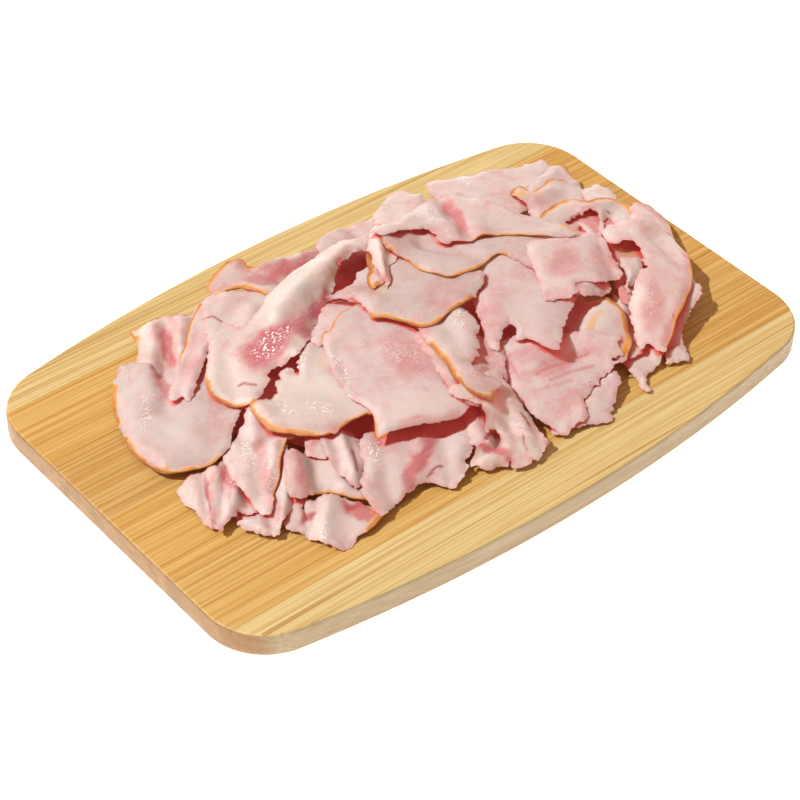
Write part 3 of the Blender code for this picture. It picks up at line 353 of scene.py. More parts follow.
     [(322, 337), (323, 345), (326, 353), (329, 363), (333, 374), (340, 384), (347, 392), (353, 398),
      (360, 403), (368, 409), (373, 414), (375, 421), (377, 432), (384, 431), (390, 429), (400, 426),
      (412, 423), (425, 420), (438, 418), (450, 415), (462, 411), (470, 405), (475, 395), (476, 382),
      (465, 360), (445, 335), (420, 315), (390, 305), (364, 302), (350, 308), (340, 314), (334, 321),
      (331, 331), (326, 332)],
     [(324, 340, 30), (329, 363, 28.5), (345, 390, 26), (370, 411, 23.5), (377, 432, 21),
      (425, 420, 23), (462, 412, 23), (474, 398, 24), (465, 362, 28), (364, 302, 31), (333, 325, 31),
      (340, 345, 30.5), (400, 370, 29), (430, 390, 27), (420, 330, 30)]),
    ("slice_middle_under", "muscle",
     [(415, 335), (440, 322), (470, 330), (488, 336), (503, 350), (507, 372), (500, 392), (486, 402),
      (470, 402), (458, 395), (448, 386), (438, 372), (428, 356)],
     [(420, 338, 31), (470, 345, 30), (503, 355, 25), (495, 395, 21), (470, 400, 22), (450, 388, 26)]),
    ("slice_near_right_web", "pale",
     [(450, 388), (462, 380), (478, 376), (490, 368), (498, 368), (504, 377), (508, 384), (513, 390),
      (519, 400), (527, 408), (535, 418), (540, 426), (544, 432), (547, 438), (549, 443), (545, 449),
      (541, 456), (534, 461), (526, 465), (517, 468), (512, 466), (511, 461), (513, 455), (509, 462),
      (506, 466), (502, 464), (500, 460), (490, 457), (478, 455), (471, 454), (472, 447), (475, 443),
      (482, 440), (490, 439), (499, 440), (500, 434), (496, 428), (491, 424), (487, 418), (482, 412),
      (476, 407), (468, 402), (458, 396)],
     [(455, 390, 26), (480, 380, 27), (497, 370, 25), (505, 380, 23), (519, 400, 17), (535, 418, 12),
      (547, 436, 7), (541, 456, 4), (517, 467, 3), (502, 462, 4), (472, 450, 6), (484, 440, 9),
      (500, 434, 11), (487, 416, 15), (474, 405, 20), (515, 425, 12), (500, 400, 19)]),
    ("slice_middle_lip", "pink",
     [(418, 326), (425, 322), (440, 312), (455, 306), (466, 310), (474, 318), (478, 328), (476, 336),
      (479, 343), (477, 350), (480, 355), (474, 357), (470, 361), (474, 367), (482, 370), (490, 372),
      (498, 375), (502, 381), (500, 384), (496, 386), (494, 390), (494, 398), (488, 397), (478, 394),
      (470, 390), (464, 385), (455, 376), (446, 364), (436, 352), (426, 341), (419, 333)],
     [(420, 332, 32), (455, 308, 36), (478, 330, 35), (480, 355, 32), (500, 380, 27), (494, 398, 22),
      (466, 387, 27), (445, 361, 31), (460, 340, 34)]),
    ("slice_right_centre_big", "pink",
     [(471, 299), (475, 308), (480, 322), (484, 335), (490, 345), (499, 351), (502, 336), (507, 327),
      (512, 325), (516, 330), (514, 337), (519, 341), (528, 340), (540, 344), (556, 348), (562, 340),
      (563, 328), (567, 316), (571, 305), (580, 290), (580, 275), (560, 262), (530, 255), (500, 250),
      (480, 255), (462, 270), (460, 285)],
     [(471, 299, 34), (484, 335, 30), (499, 351, 25), (512, 325, 31), (540, 344, 28), (556, 348, 26),
      (567, 316, 29), (580, 285, 30), (530, 260, 34), (480, 260, 35), (520, 300, 34)]),
    ("slice_centre_top", "pink",
     [(326, 298), (333, 297), (338, 296), (345, 297), (353, 298), (358, 301), (363, 304), (367, 309),
      (373, 316), (380, 316), (386, 316), (400, 319), (412, 324), (424, 326), (436, 322), (447, 314),
      (456, 307), (471, 299), (480, 288), (485, 272), (460, 262), (420, 258), (395, 255), (380, 262),
      (370, 264), (362, 267), (357, 268), (355, 276), (352, 283), (346, 288), (338, 291), (330, 294)],
     [(326, 298, 33), (352, 298, 35), (373, 316, 35), (412, 324, 35), (447, 314, 36), (471, 299, 37),
      (480, 275, 38), (420, 262, 38), (380, 266, 37), (356, 272, 33), (410, 295, 38), (345, 290, 33)]),
    ("slice_far_edge", "pink",
     [(425, 182), (440, 178), (460, 175), (480, 171), (500, 168), (515, 166), (525, 162), (540, 159),
      (547, 161), (550, 170), (540, 180), (534, 190), (530, 204), (515, 214), (497, 212), (470, 208),
      (445, 200), (430, 192)],
     [(425, 182, 18), (480, 171, 17), (540, 159, 14), (548, 170, 16), (520, 198, 22), (460, 200, 24)]),
    ("slice_far_triangle", "pale",
     [(373, 219), (384, 201), (393, 190), (403, 188), (413, 192), (425, 196), (425, 210), (412, 222),
      (398, 230), (385, 228)],
     [(373, 219, 22), (393, 190, 21), (425, 198, 25), (400, 226, 28)]),
    ("scrap_far_right", "pink",
     [(526, 190), (538, 176), (548, 168), (556, 165), (566, 165), (570, 172), (578, 180), (575, 190),
      (560, 192), (542, 194), (532, 196)],
     [(540, 176, 15), (566, 165, 13), (578, 180, 15), (535, 194, 20)]),
    ("slice_far_right_crinkled", "pink",
     [(510, 193), (520, 187), (533, 191), (542, 186), (551, 181), (565, 181), (578, 181), (583, 187),
      (588, 193), (594, 200), (582, 208), (560, 216), (540, 222), (532, 212), (525, 203), (516, 199)],
     [(510, 193, 22), (551, 181, 18), (578, 181, 16), (592, 198, 20), (540, 218, 27), (560, 200, 22)]),
    ("scrap_far_right_end", "pale",
     [(582, 190), (590, 185), (597, 183), (606, 187), (613, 193), (619, 200), (612, 206), (598, 206),
      (586, 202)],
     [(597, 183, 15), (618, 200, 18), (586, 200, 20)]),
    ("slice_far_right_arch", "pink",
     [(540, 217), (548, 209), (558, 203), (570, 199), (580, 199), (588, 200), (595, 198), (604, 197),
      (614, 199), (624, 203), (633, 208), (642, 214), (646, 222), (632, 226), (622, 222), (612, 218),
      (606, 216), (605, 223), (604, 232), (599, 234), (598, 226), (599, 216), (596, 210), (590, 208),
      (586, 210), (580, 214), (572, 217), (566, 221), (572, 223), (578, 223), (580, 229), (588, 232),
      (580, 236), (565, 234), (552, 230), (545, 225)],
     [(540, 217, 27), (560, 204, 25), (595, 198, 23), (628, 205, 24), (644, 218, 24), (606, 217, 23),
      (575, 234, 28), (550, 225, 28), (600, 232, 26)]),
    ("scrap_centre_rind", "pink",
     [(367, 251), (370, 250), (373, 258), (377, 264), (384, 272), (386, 278), (381, 282), (377, 284),
      (374, 287), (370, 285), (367, 281), (367, 274), (369, 270), (367, 262)],
     [(368, 252, 35), (386, 277, 38), (374, 286, 38), (367, 274, 36.5)]),
    ("scrap_centre_knot", "pale",
     [(368, 243), (371, 234), (378, 226), (388, 224), (398, 232), (400, 244), (396, 256), (390, 267),
      (391, 278), (388, 286), (383, 279), (378, 270), (373, 261), (369, 252)],
     [(371, 234, 29), (390, 224, 31), (398, 240, 37), (388, 284, 38), (372, 256, 35), (384, 250, 38)]),
    ("slice_far_centre_rind", "pink",
     [(384, 244), (395, 252), (408, 260), (420, 268), (435, 273), (450, 277), (462, 273), (475, 268),
      (488, 260), (500, 253), (515, 258), (530, 266), (545, 268), (555, 250), (550, 236), (530, 228),
      (505, 225), (480, 225), (455, 228), (430, 222), (410, 220), (395, 222), (385, 230), (381, 237)],
     [(384, 244, 35), (408, 260, 37), (450, 277, 37), (488, 260, 37), (530, 266, 35), (550, 240, 33),
      (480, 226, 33), (410, 221, 31), (385, 230, 32), (450, 250, 35)]),
    ("scrap_right_centre", "pink",
     [(572, 283), (583, 276), (600, 274), (610, 283), (607, 292), (592, 295), (575, 294)],
     [(575, 290, 28), (600, 276, 27), (607, 291, 24)]),
    ("slice_right_centre_flat", "pink",
     [(528, 240), (540, 237), (552, 235), (566, 234), (580, 232), (586, 230), (583, 226), (579, 221),
      (582, 219), (587, 223), (593, 228), (600, 234), (606, 240), (610, 247), (614, 255), (618, 262),
      (620, 268), (622, 275), (614, 279), (606, 280), (600, 281), (590, 280), (580, 280), (576, 283),
      (579, 289), (574, 295), (560, 299), (545, 300), (540, 290), (536, 275), (533, 262), (526, 250)],
     [(528, 240, 36), (566, 234, 34), (600, 234, 31), (612, 250, 28), (622, 274, 24), (590, 280, 29),
      (574, 295, 29), (545, 300, 32), (533, 262, 36), (570, 255, 34), (581, 221, 30)]),
    ("slice_far_ridge", "pink",
     [(370, 232), (378, 224), (392, 222), (405, 214), (418, 204), (430, 196), (445, 192), (460, 192),
      (480, 199), (500, 207), (520, 214), (540, 219), (556, 226), (577, 233), (560, 236), (540, 235),
      (520, 234), (500, 234), (480, 236), (470, 240), (458, 240), (447, 243), (440, 241), (430, 230),
      (412, 228), (400, 230), (385, 234)],
     [(372, 232, 32), (405, 214, 31), (445, 192, 28), (480, 199, 29), (520, 214, 31), (577, 233, 32),
      (520, 234, 35), (470, 240, 37), (430, 230, 36), (400, 229, 35), (385, 233, 34)]),
    ("slice_right_end_big", "pink",
     [(632, 200), (640, 201), (650, 205), (656, 210), (663, 216), (669, 223), (672, 231), (676, 240),
      (682, 249), (687, 256), (691, 264), (693, 274), (692, 284), (689, 292), (686, 300), (682, 308),
      (678, 316), (675, 325), (672, 334), (668, 343), (664, 351), (655, 348), (650, 345), (645, 347),
      (640, 349), (636, 332), (632, 318), (631, 305), (631, 295), (634, 286), (637, 279), (642, 271),
      (647, 266), (643, 262), (643, 254), (640, 247), (636, 242), (630, 239), (622, 239), (615, 241),
      (609, 240), (604, 236), (602, 231), (604, 226), (610, 222), (618, 220), (628, 216), (631, 208)],
     [(640, 201, 13), (655, 209, 10), (664, 217, 9), (674, 236, 9), (685, 252, 13), (693, 274, 16.5),
      (690, 290, 17), (684, 304, 16), (676, 325, 13), (668, 343, 10), (645, 347, 11), (632, 312, 18),
      (645, 266, 25), (636, 243, 27), (603, 232, 29), (620, 221, 25), (650, 232, 22), (665, 290, 21),
      (640, 300, 21)]),
]
# How each slice looks: stretches of smoked rind, folds (u0, v0, u1, v1, height, half-width)
# or (path, height, half-width), and spots (u, v, half-length, half-width, turn, value), which
# are lean above 0 and pale below it; a few lean spots are painted shade in valleys and under
# overhangs. Slit marks (path, half-width) are painted shade where small tears open. Gloom
# patches are painted shade (a negative value takes painted shade away), dark adds painted
# shade over a whole slice, gloss patches mark glossier flesh and carry painted highlights,
# and each slice's balance factor scales its colours, partly to even out how the key light
# falls on it.
STYLE = {
    "scrap_far_left": dict(spots=[(170, 322, 30, 12, 0, 0.8)]),
    "slice_far_left": dict(
        rind=[[(128, 343), (130, 335), (134, 330), (140, 328)]], rind_width=2.2,
        folds=[(166, 328, 168, 378, -4.0, 4.5), (150, 338, 151, 372, 1.6, 4), (183, 325, 180, 370, 1.2, 4)],
        # painted shade: the first lean spot darkens the valley of the fold
        spots=[(167, 352, 26, 8, 82, 0.9), (145, 352, 12, 20, 0, -0.6)],
        gloom=[(170, 351, 15, 3.5, 84, 0.35)]),
    "slice_left_round": dict(gloss=[(146, 412, 20, 10, 80, 0.6)], tone_and_light_balance=0.90, 
        rind=[[(113, 392), (116, 415)], [(126, 440), (133, 450), (138, 455), (150, 464), (163, 469),
               (177, 470), (190, 468), (213, 462)]], rind_width=2.4,
        folds=[(163, 368, 166, 405, -3.2, 5), (140, 375, 139, 420, 1.5, 8), (195, 390, 190, 440, 1.4, 9),
               ([(117, 400), (128, 443), (163, 469), (213, 462)], -1.8, 3.0)],
        spots=[(161, 385, 26, 8, 78, 0.75), (222, 400, 20, 10, -60, 0.3), (175, 435, 40, 22, 0, -0.7),
               (128, 400, 12, 26, 0, -0.5)]),
    "slice_left_tall": dict(tone_and_light_balance=0.95, 
        rind=[[(205, 297), (198, 306), (191, 320), (186, 336), (180, 352)]], rind_width=1.0,
        folds=[(212, 318, 188, 392, 1.8, 6), (200, 330, 180, 392, -1.0, 3)],
        spots=[(196, 350, 40, 9, -65, 0.35)],
        slit_shade=[([(205, 322), (209, 320), (213, 324)], 0.7)]),
    "slice_left_middle": dict(folds=[(240, 298, 222, 345, -1.5, 6)],
                              slit_shade=[([(206, 318), (213, 316), (222, 322)], 0.4)]),
    "slice_left_hollow": dict(dark=0.5),
    "slice_far_left_dark": dict(tone_and_light_balance=0.90, 
        rind=[[(207, 287), (213, 272), (221, 264), (230, 260), (243, 258), (248, 262)],
              [(224, 290), (240, 287), (252, 288), (268, 294)]], rind_width=1.9,
        folds=[(222, 274, 262, 272, -1.6, 6), (262, 265, 300, 256, 1.0, 5)],
        spots=[(284, 271, 44, 11, -24, 0.75), (226, 274, 20, 12, -20, -0.9), (262, 288, 30, 4, 5, -1.0), (285, 255, 34, 3, -20, -1.0)]),
    "slice_near_left_fan": dict(gloss=[(236, 484, 12, 5, 60, 0.9)], spots=[(232, 482, 26, 6, 60, 1.0), (240, 492, 16, 5, 70, 0.6), (221, 500, 28, 5, 84, -0.8)],
                                veins=[([(224, 466), (221, 490), (220, 520)], 0.5), ([(222, 466), (216, 490), (214, 515)], 0.45),
                                       ([(226, 468), (230, 490), (230, 512)], 0.4)], torn=1.6,
                                folds=[(228, 462, 220, 525, -2.0, 3), (240, 458, 234, 512, 1.6, 3),
                                       (252, 462, 248, 508, -1.2, 3)]),
    "slice_near_left_tip": dict(folds=[(214, 470, 214, 522, 2.0, 3), (204, 472, 208, 520, -1.4, 3),
                                       (190, 478, 200, 512, 1.0, 4)],
                                spots=[(214, 495, 26, 4, 90, 0.5), (196, 492, 22, 8, -60, -0.6)],
                                gloom=[(209, 500, 26, 2.6, 86, 0.9)]),
    "slice_near_low": dict(gloss=[(328, 530, 5, 10, 10, 0.8)], rind=[[(372, 528), (378, 520), (383, 512)]], rind_width=3.0,
                           folds=[(330, 503, 322, 540, 1.8, 4), (352, 503, 345, 540, -1.5, 5),
                                  (318, 505, 312, 532, -1.2, 4)],
                           # painted shade: the first lean spot darkens the shaded upper right of the slice
                           spots=[(362, 510, 26, 9, 15, 0.9), (330, 522, 9, 24, 12, -0.8)],
                           gloom=[(310, 519, 9, 5, -30, 1.0), (352, 503, 14, 5, 25, 0.7)]),
    "scrap_near": dict(torn=1.8, gloom=[(305, 515, 5, 9, 20, 0.8)]),
    "slice_near_left_middle": dict(torn=0.6, gloss=[(246, 452, 16, 8, 80, 0.8), (270, 470, 22, 4, 85, 0.6)], tone_and_light_balance=1.04, 
        rind=[[(284, 440), (283, 448), (281, 462), (279, 478), (275, 492)]], rind_width=1.0,
        folds=[(255, 410, 250, 470, 1.8, 5), (240, 440, 262, 500, -1.2, 4),
               ([(285, 440), (281, 462), (276, 492)], -2.0, 2.6)],
        spots=[(262, 462, 34, 8, 75, 0.45), (245, 450, 24, 9, 60, -0.6)]),
    "slice_near_left_curl": dict(folds=[([(243, 524), (258, 532), (279, 536)], 1.6, 3), (262, 505, 272, 528, -1.2, 3),
                                        ([(287, 448), (287, 470), (286, 498), (282, 526)], 2.4, 2.6)],
                                 spots=[(268, 512, 12, 14, 0, 0.5), (258, 528, 16, 5, 15, -0.7),
                                        (285, 480, 40, 6, 94, -1.0)],
                                 gloom=[(258, 512, 9, 4.5, 10, 1.0)]),
    "slice_near_flap": dict(rind=[[(316, 492), (328, 491), (340, 494), (368, 498)]], rind_width=1.6,
                            folds=[(305, 455, 318, 490, -1.3, 4), (325, 452, 345, 488, 1.4, 4)],
                            spots=[(300, 470, 26, 8, 75, 0.6)],
                            slit_shade=[([(352, 450), (354, 460), (357, 470)], 1.0)]),
    "slice_near_tongue": dict(folds=[(340, 434, 354, 478, 2.0, 3), (330, 436, 344, 474, -1.4, 3)],
                              spots=[(346, 452, 26, 5, 65, -0.7)],
                              slit_shade=[([(352, 450), (355, 460), (357, 471)], 0.9)]),
    "scrap_near_upper": dict(spots=[(314, 438, 8, 14, 20, 0.4)]),
    "slice_near_hanging": dict(gloss=[(376, 450, 9, 12, 20, 0.9)], gloom=[(381, 441, 6, 6, 0, -0.6)],
        spots=[(418, 462, 38, 10, -62, 1.0), (462, 440, 16, 30, 10, -0.7), (392, 470, 30, 16, 70, -0.35),
               (385, 448, 20, 8, 0, 0.3)],
        folds=[(392, 438, 400, 490, 1.6, 6), (440, 430, 450, 478, -1.6, 5), (420, 436, 416, 480, 1.2, 4),
               ([(470, 452), (464, 470), (454, 484)], -1.2, 3)],
        slit_shade=[([(428, 476), (436, 467), (442, 466)], 1.4)]),
    "slice_right_middle": dict(
        rind=[[(590, 299), (600, 297), (613, 301)], [(617, 304), (624, 313), (628, 322), (632, 341), (630, 350)]],
        rind_width=3.4,
        # painted shade: the lean spot at (568, 318) darkens the part shaded by the overhang of the slice above
        spots=[(604, 316, 20, 18, 0, -1.0), (568, 318, 8, 26, 12, 0.9), (615, 342, 20, 8, -30, 0.8)],
        amber=[(592, 325, 12, 5, -65, 0.8), (585, 336, 14, 5, 10, 0.7)]),
    "slice_near_right_web": dict(gloss=[(522, 425, 16, 6, 70, 0.5)], tone_and_light_balance=1.05, dark=-0.3,
        folds=[(514, 405, 528, 448, 1.6, 4), (502, 402, 510, 440, -1.2, 3.5), (534, 415, 540, 450, -1.2, 3),
               ([(475, 443), (500, 441), (520, 446), (545, 446)], 2.6, 2.2), ([(474, 450), (500, 455)], -2.0, 2.6)],
        # painted shade: the first lean spot darkens the shaded underside of the curled lip
        spots=[(490, 450, 22, 5, 8, 0.9), (505, 460, 7, 6, 0, 0.7), (484, 412, 8, 5, 45, 0.6)],
        slit_shade=[([(521, 413), (526, 419), (530, 427)], 0.9), ([(523, 436), (526, 450)], 0.5)], torn=0.9),
    "slice_near_right_hollow": dict(
        spots=[(488, 424, 26, 10, 60, 0.5)],
        slit_shade=[([(475, 405), (479, 411), (480, 418)], 1.6), ([(486, 438), (492, 431), (497, 438)], 2.6),
              ([(484, 418), (488, 426)], 0.5), ([(490, 416), (494, 424)], 0.5)]),
    "slice_near_right_big": dict(gloss=[(590, 380, 16, 6, -40, 0.4)], tone_and_light_balance=1.08, folds=[(512, 350, 580, 410, 1.2, 8), (560, 342, 600, 372, -1.4, 6),
                                        (535, 372, 575, 352, -1.0, 4)],
                                 spots=[(562, 362, 46, 10, -22, 0.5), (530, 352, 34, 8, -10, 0.35), (575, 395, 30, 8, -35, 0.2)],
                                 veins=[([(535, 374), (550, 367), (566, 362), (588, 354)], 0.8),
                                        ([(520, 362), (540, 358), (560, 350)], 0.4),
                                        ([(530, 392), (552, 386), (572, 380)], 0.35),
                                        ([(550, 380), (570, 372), (592, 366)], 0.6),
                                        ([(505, 352), (512, 365), (520, 380)], 0.5)], cool=0.8, grain=0.9),
    "slice_near_middle_big": dict(gloss=[(303, 358, 16, 6, 80, 0.8), (320, 408, 14, 7, 20, 0.9), (280, 405, 16, 5, 20, 0.6)], tone_and_light_balance=0.94, 
        rind=[[(249, 405), (252, 411), (257, 417), (268, 425), (280, 427), (301, 430), (322, 429)],
              [(347, 421), (360, 416), (372, 413)]], rind_width=1.8,
        folds=[([(252, 410), (268, 425), (301, 430), (338, 426), (352, 418)], -2.0, 3.0),
               (290, 385, 345, 400, -1.4, 8), (306, 350, 300, 372, 1.2, 4)],
        spots=[(315, 400, 60, 26, 8, -1.0), (312, 362, 14, 22, 15, -0.9)],
        amber=[(323, 364, 4, 7, 0, 0.35), (298, 368, 2.5, 8, 10, 0.5)]),
    "slice_near_middle_disk": dict(gloss=[(340, 366, 18, 6, 65, 0.9), (347, 393, 8, 4, 40, 0.7), (402, 352, 22, 14, 30, 0.45)], torn=0.4,
        rind=[[(311, 339), (320, 333), (330, 331)], [(330, 331), (334, 321), (340, 314), (350, 308), (363, 303)],
              [(374, 418), (376, 425), (377, 432)]], rind_width=0.7,
        folds=[(345, 330, 420, 345, 1.0, 12), (385, 402, 455, 393, 1.8, 6), (326, 345, 336, 378, 1.0, 3),
               ([(380, 432), (412, 423), (438, 418), (462, 411)], -2.6, 3.2), (360, 385, 440, 372, -1.0, 7)],
        spots=[(412, 355, 34, 26, 10, 0.45), (418, 408, 44, 10, -14, -1.0), (345, 350, 16, 24, 0, -0.35)],
        cool=0.5, veins=[([(400, 421), (410, 418), (422, 416)], 0.4)]),
    "slice_left_big_fold": dict(gloss=[(274, 338, 28, 12, -42, 1.0)], tone_and_light_balance=1.00, 
        rind=[[(206, 381), (212, 394), (226, 401), (236, 403), (247, 402)]], rind_width=2.0,
        folds=[([(278, 314), (296, 297), (316, 277), (347, 252)], 3.0, 6.5), (240, 352, 290, 302, 1.6, 10), (225, 350, 235, 395, -1.6, 6),
               ([(298, 340), (312, 322), (320, 306)], -2.0, 4.0),
               ([(330, 288), (338, 268), (350, 255)], -2.2, 3.0), ([(206, 381), (226, 401), (248, 402)], -1.5, 2.6)],
        # painted shade: the lean spot at (317, 307) darkens the shaded side where the ridge rolls under
        spots=[(272, 340, 42, 17, -40, 1.0), (317, 307, 20, 6, -68, 0.9), (298, 326, 16, 12, -50, 0.8), (232, 378, 34, 16, 35, -0.8),
               (292, 284, 62, 11, -47, -1.0)],
        amber=[(330, 275, 26, 4, -62, 0.28)],
        slit_shade=[([(239, 386), (243, 383), (256, 385)], 0.7)], wet=0.5),
    "slice_middle_lip": dict(gloss=[(462, 318, 10, 6, 60, 0.9)], tone_and_light_balance=0.95, 
        rind=[[(432, 348), (446, 364)], [(446, 363), (455, 376), (464, 385), (470, 390), (478, 394), (490, 397)]],
        rind_width=2.0, folds=[(455, 312, 482, 372, 1.4, 6), ([(472, 357), (490, 372)], -1.6, 4)],
        spots=[(450, 328, 24, 16, 50, -0.9), (485, 364, 14, 7, 20, 0.7)]),
    "slice_middle_under": dict(spots=[(450, 370, 30, 12, 45, -0.7)]),
    "slice_right_centre_big": dict(tone_and_light_balance=1.00, folds=[(490, 300, 505, 340, 1.6, 8), (545, 290, 540, 335, 1.2, 8),
                                          (475, 275, 492, 330, -1.0, 5)],
                                   spots=[(530, 312, 30, 20, 0, -0.5), (490, 320, 16, 26, 10, 0.3)], cool=0.6,
                                   veins=[([(508, 318), (505, 332), (502, 340)], 0.5)]),
    "slice_centre_hollow": dict(dark=0.4, gloom=[(352, 264, 24, 20, -50, 0.9), (340, 284, 20, 10, -60, 0.15)]),
    "slice_centre_flap": dict(spots=[(335, 316, 18, 10, -35, -0.4)], cool=0.4),
    "slice_centre_top": dict(tone_and_light_balance=0.88, 
        rind=[[(373, 316), (386, 317), (400, 319), (412, 324), (424, 326), (447, 314), (471, 299)]],
        rind_width=2.0, folds=[(380, 285, 440, 300, -1.4, 8), (345, 292, 375, 300, 1.5, 5)],
        spots=[(395, 300, 24, 12, 10, -0.6), (440, 290, 34, 14, -15, 0.15)],
        amber=[(378, 292, 16, 9, 40, 0.22)], veins=[([(372, 318), (376, 327)], 0.4)]),
    "scrap_far_right": dict(rind=[[(562, 165), (567, 166), (572, 174)]], rind_width=3.2),
    "slice_far_edge": dict(gloss=[(470, 182, 26, 4, -8, 0.7)], spots=[(480, 188, 50, 9, -8, -0.5), (532, 190, 16, 5, -40, 0.9)]),
    "slice_far_right_crinkled": dict(
        rind=[[(510, 193), (520, 187), (533, 191), (538, 189)], [(542, 186), (551, 181), (562, 180)]],
        rind_width=2.4, curl=2.2, amber=[(525, 192, 18, 5, 0, 0.7)],
        spots=[(575, 194, 20, 10, 0, -0.6), (545, 205, 16, 10, 20, 0.35)]),
    "slice_far_right_arch": dict(
        rind=[[(540, 217), (548, 209), (558, 203), (570, 199), (586, 200)],
              [(592, 199), (604, 197), (614, 199), (624, 203), (633, 208), (642, 214)]],
        rind_width=3.0, spots=[(560, 215, 18, 8, -20, -0.9), (622, 212, 22, 6, 25, -0.6)],
        slit_shade=[([(570, 219), (579, 214)], 0.7), ([(607, 211), (610, 213)], 0.7)]),
    "scrap_far_right_end": dict(spots=[(600, 192, 18, 8, 0, -0.8)], amber=[(596, 190, 4, 3, 0, 0.4)]),
    "scrap_centre_rind": dict(rind=[[(368, 252), (369, 262), (368, 274), (371, 284), (375, 287)]],
                              rind_width=3.0, spots=[(379, 274, 10, 5, 40, 0.5)]),
    "scrap_centre_knot": dict(folds=[(376, 228, 384, 276, 2.6, 3), (388, 232, 389, 270, -1.4, 3)],
                              spots=[(376, 250, 26, 4, 70, -0.9), (384, 258, 20, 3, 65, 0.5)]),
    "slice_far_centre_rind": dict(tone_and_light_balance=0.93, 
        rind=[[(384, 244), (395, 252), (408, 260), (420, 268), (435, 273), (450, 277), (475, 268), (500, 253)]],
        rind_width=1.7, folds=[(410, 245, 470, 262, -1.5, 8)], cool=0.3),
    "slice_far_ridge": dict(gloss=[(425, 212, 24, 6, 20, 0.7)], tone_and_light_balance=0.96, 
        rind=[[(475, 236), (500, 234), (520, 234), (540, 235), (577, 233)]], rind_width=1.2,
        folds=[(440, 198, 468, 238, -3.4, 5), (400, 215, 430, 225, 1.5, 6), (480, 205, 560, 228, 2.2, 6)],
        # painted shade: the first lean spot darkens the valley of the fold
        spots=[(456, 216, 26, 8, 58, 1.0), (505, 222, 50, 6, 14, -0.5), (410, 218, 26, 9, -20, -0.4)]),
    "slice_right_hollow": dict(dark=0.2, amber=[(625, 250, 14, 4, 15, 0.7)]),
    "scrap_right_upper": dict(spots=[(632, 268, 10, 12, 0, -0.8)]),
    "strip_right": dict(spots=[(622, 302, 8, 7, 0, -1.0), (630, 325, 6, 18, 10, 0.5)]),
    "scrap_right_centre": dict(spots=[(578, 284, 6, 7, 0, 0.6), (606, 286, 5, 8, 0, 0.5)],
                               slit_shade=[([(577, 279), (590, 278), (602, 279)], 1.0)]),
    "slice_right_centre_flat": dict(tone_and_light_balance=1.08, spots=[(566, 262, 18, 14, 0, 0.45), (605, 262, 10, 26, -20, 0.3)], cool=0.6,
                                    folds=[(598, 240, 616, 275, -1.4, 4)]),
    "slice_right_end_big": dict(gloss=[(652, 300, 26, 5, 88, 0.5), (628, 226, 14, 6, 0, 0.5)], tone_and_light_balance=1.12, 
        rind=[[(638, 201), (650, 205), (663, 216), (672, 231)],
              [(687, 257), (692, 268), (692, 284), (686, 300), (678, 316), (668, 343)]], rind_width=1.0,
        folds=[(652, 228, 688, 258, 2.4, 4.5), (645, 270, 650, 330, 1.2, 8), (648, 238, 684, 268, -1.2, 4)],
        spots=[(655, 305, 34, 14, 92, 0.5), (676, 250, 22, 5, 40, -1.0), (676, 295, 24, 6, -70, -0.4),
               (620, 232, 18, 8, 0, -0.4)],
        blush=0.5, slit_shade=[([(674, 315), (675, 322)], 0.9)]),
    "slice_right_low": dict(spots=[(640, 350, 20, 12, 60, -0.6)]),
    "slice_near_right_corner": dict(cool=0.7),
    "slice_far_middle": dict(cool=0.4),
}


# ---------------------------------------------------------------------------
# Height map of the pile's top, in mm above the board, on a plan grid.
CELL = 0.5
X0, Y0, NX, NY = -200.0, -145.0, 801, 581
top_map = np.zeros((NY, NX))
REACH = 11            # cells over which a slice bridges from one support to the next


def widest(grid, n):
    """Largest value within n cells along both axes."""
    for axis in (0, 1):
        done = 0
        while done < n:
            k = min(max(done, 1), n - done)
            p = np.pad(grid, [(k, k) if j == axis else (0, 0) for j in (0, 1)], mode="edge")
            size = grid.shape[axis]
            a, b = ((slice(None), slice(q, q + size)) if axis else (slice(q, q + size), slice(None))
                    for q in (0, 2 * k))
            grid = np.maximum(grid, np.maximum(p[a], p[b]))
            done += k
    return grid


def soften(grid, n):
    """Average over n cells each way, along both axes."""
    for axis in (0, 1):
        p = np.pad(grid, [(n + 1, n) if j == axis else (0, 0) for j in (0, 1)], mode="edge")
        c = np.cumsum(p, axis=axis)
        w = 2 * n + 1
        grid = (c[:, w:] - c[:, :-w]) / w if axis else (c[w:] - c[:-w]) / w
    return grid


def bilinear(grid, i0, j0, xy):
    """Values of a window of the plan grid at plan points."""
    gx = np.clip((xy[:, 0] - X0) / CELL - i0, 0, grid.shape[1] - 1.001)
    gy = np.clip((xy[:, 1] - Y0) / CELL - j0, 0, grid.shape[0] - 1.001)
    i, j = gx.astype(int), gy.astype(int)
    fx, fy = gx - i, gy - j
    return ((grid[j, i] * (1 - fx) + grid[j, i + 1] * fx) * (1 - fy)
            + (grid[j + 1, i] * (1 - fx) + grid[j + 1, i + 1] * fx) * fy)


def lift_at(xy, want):
    """How far the pile so far would lift a slice whose underside should be at want."""
    return np.clip(bilinear(top_map, 0, 0, xy) + GAP - want, 0.0, None)


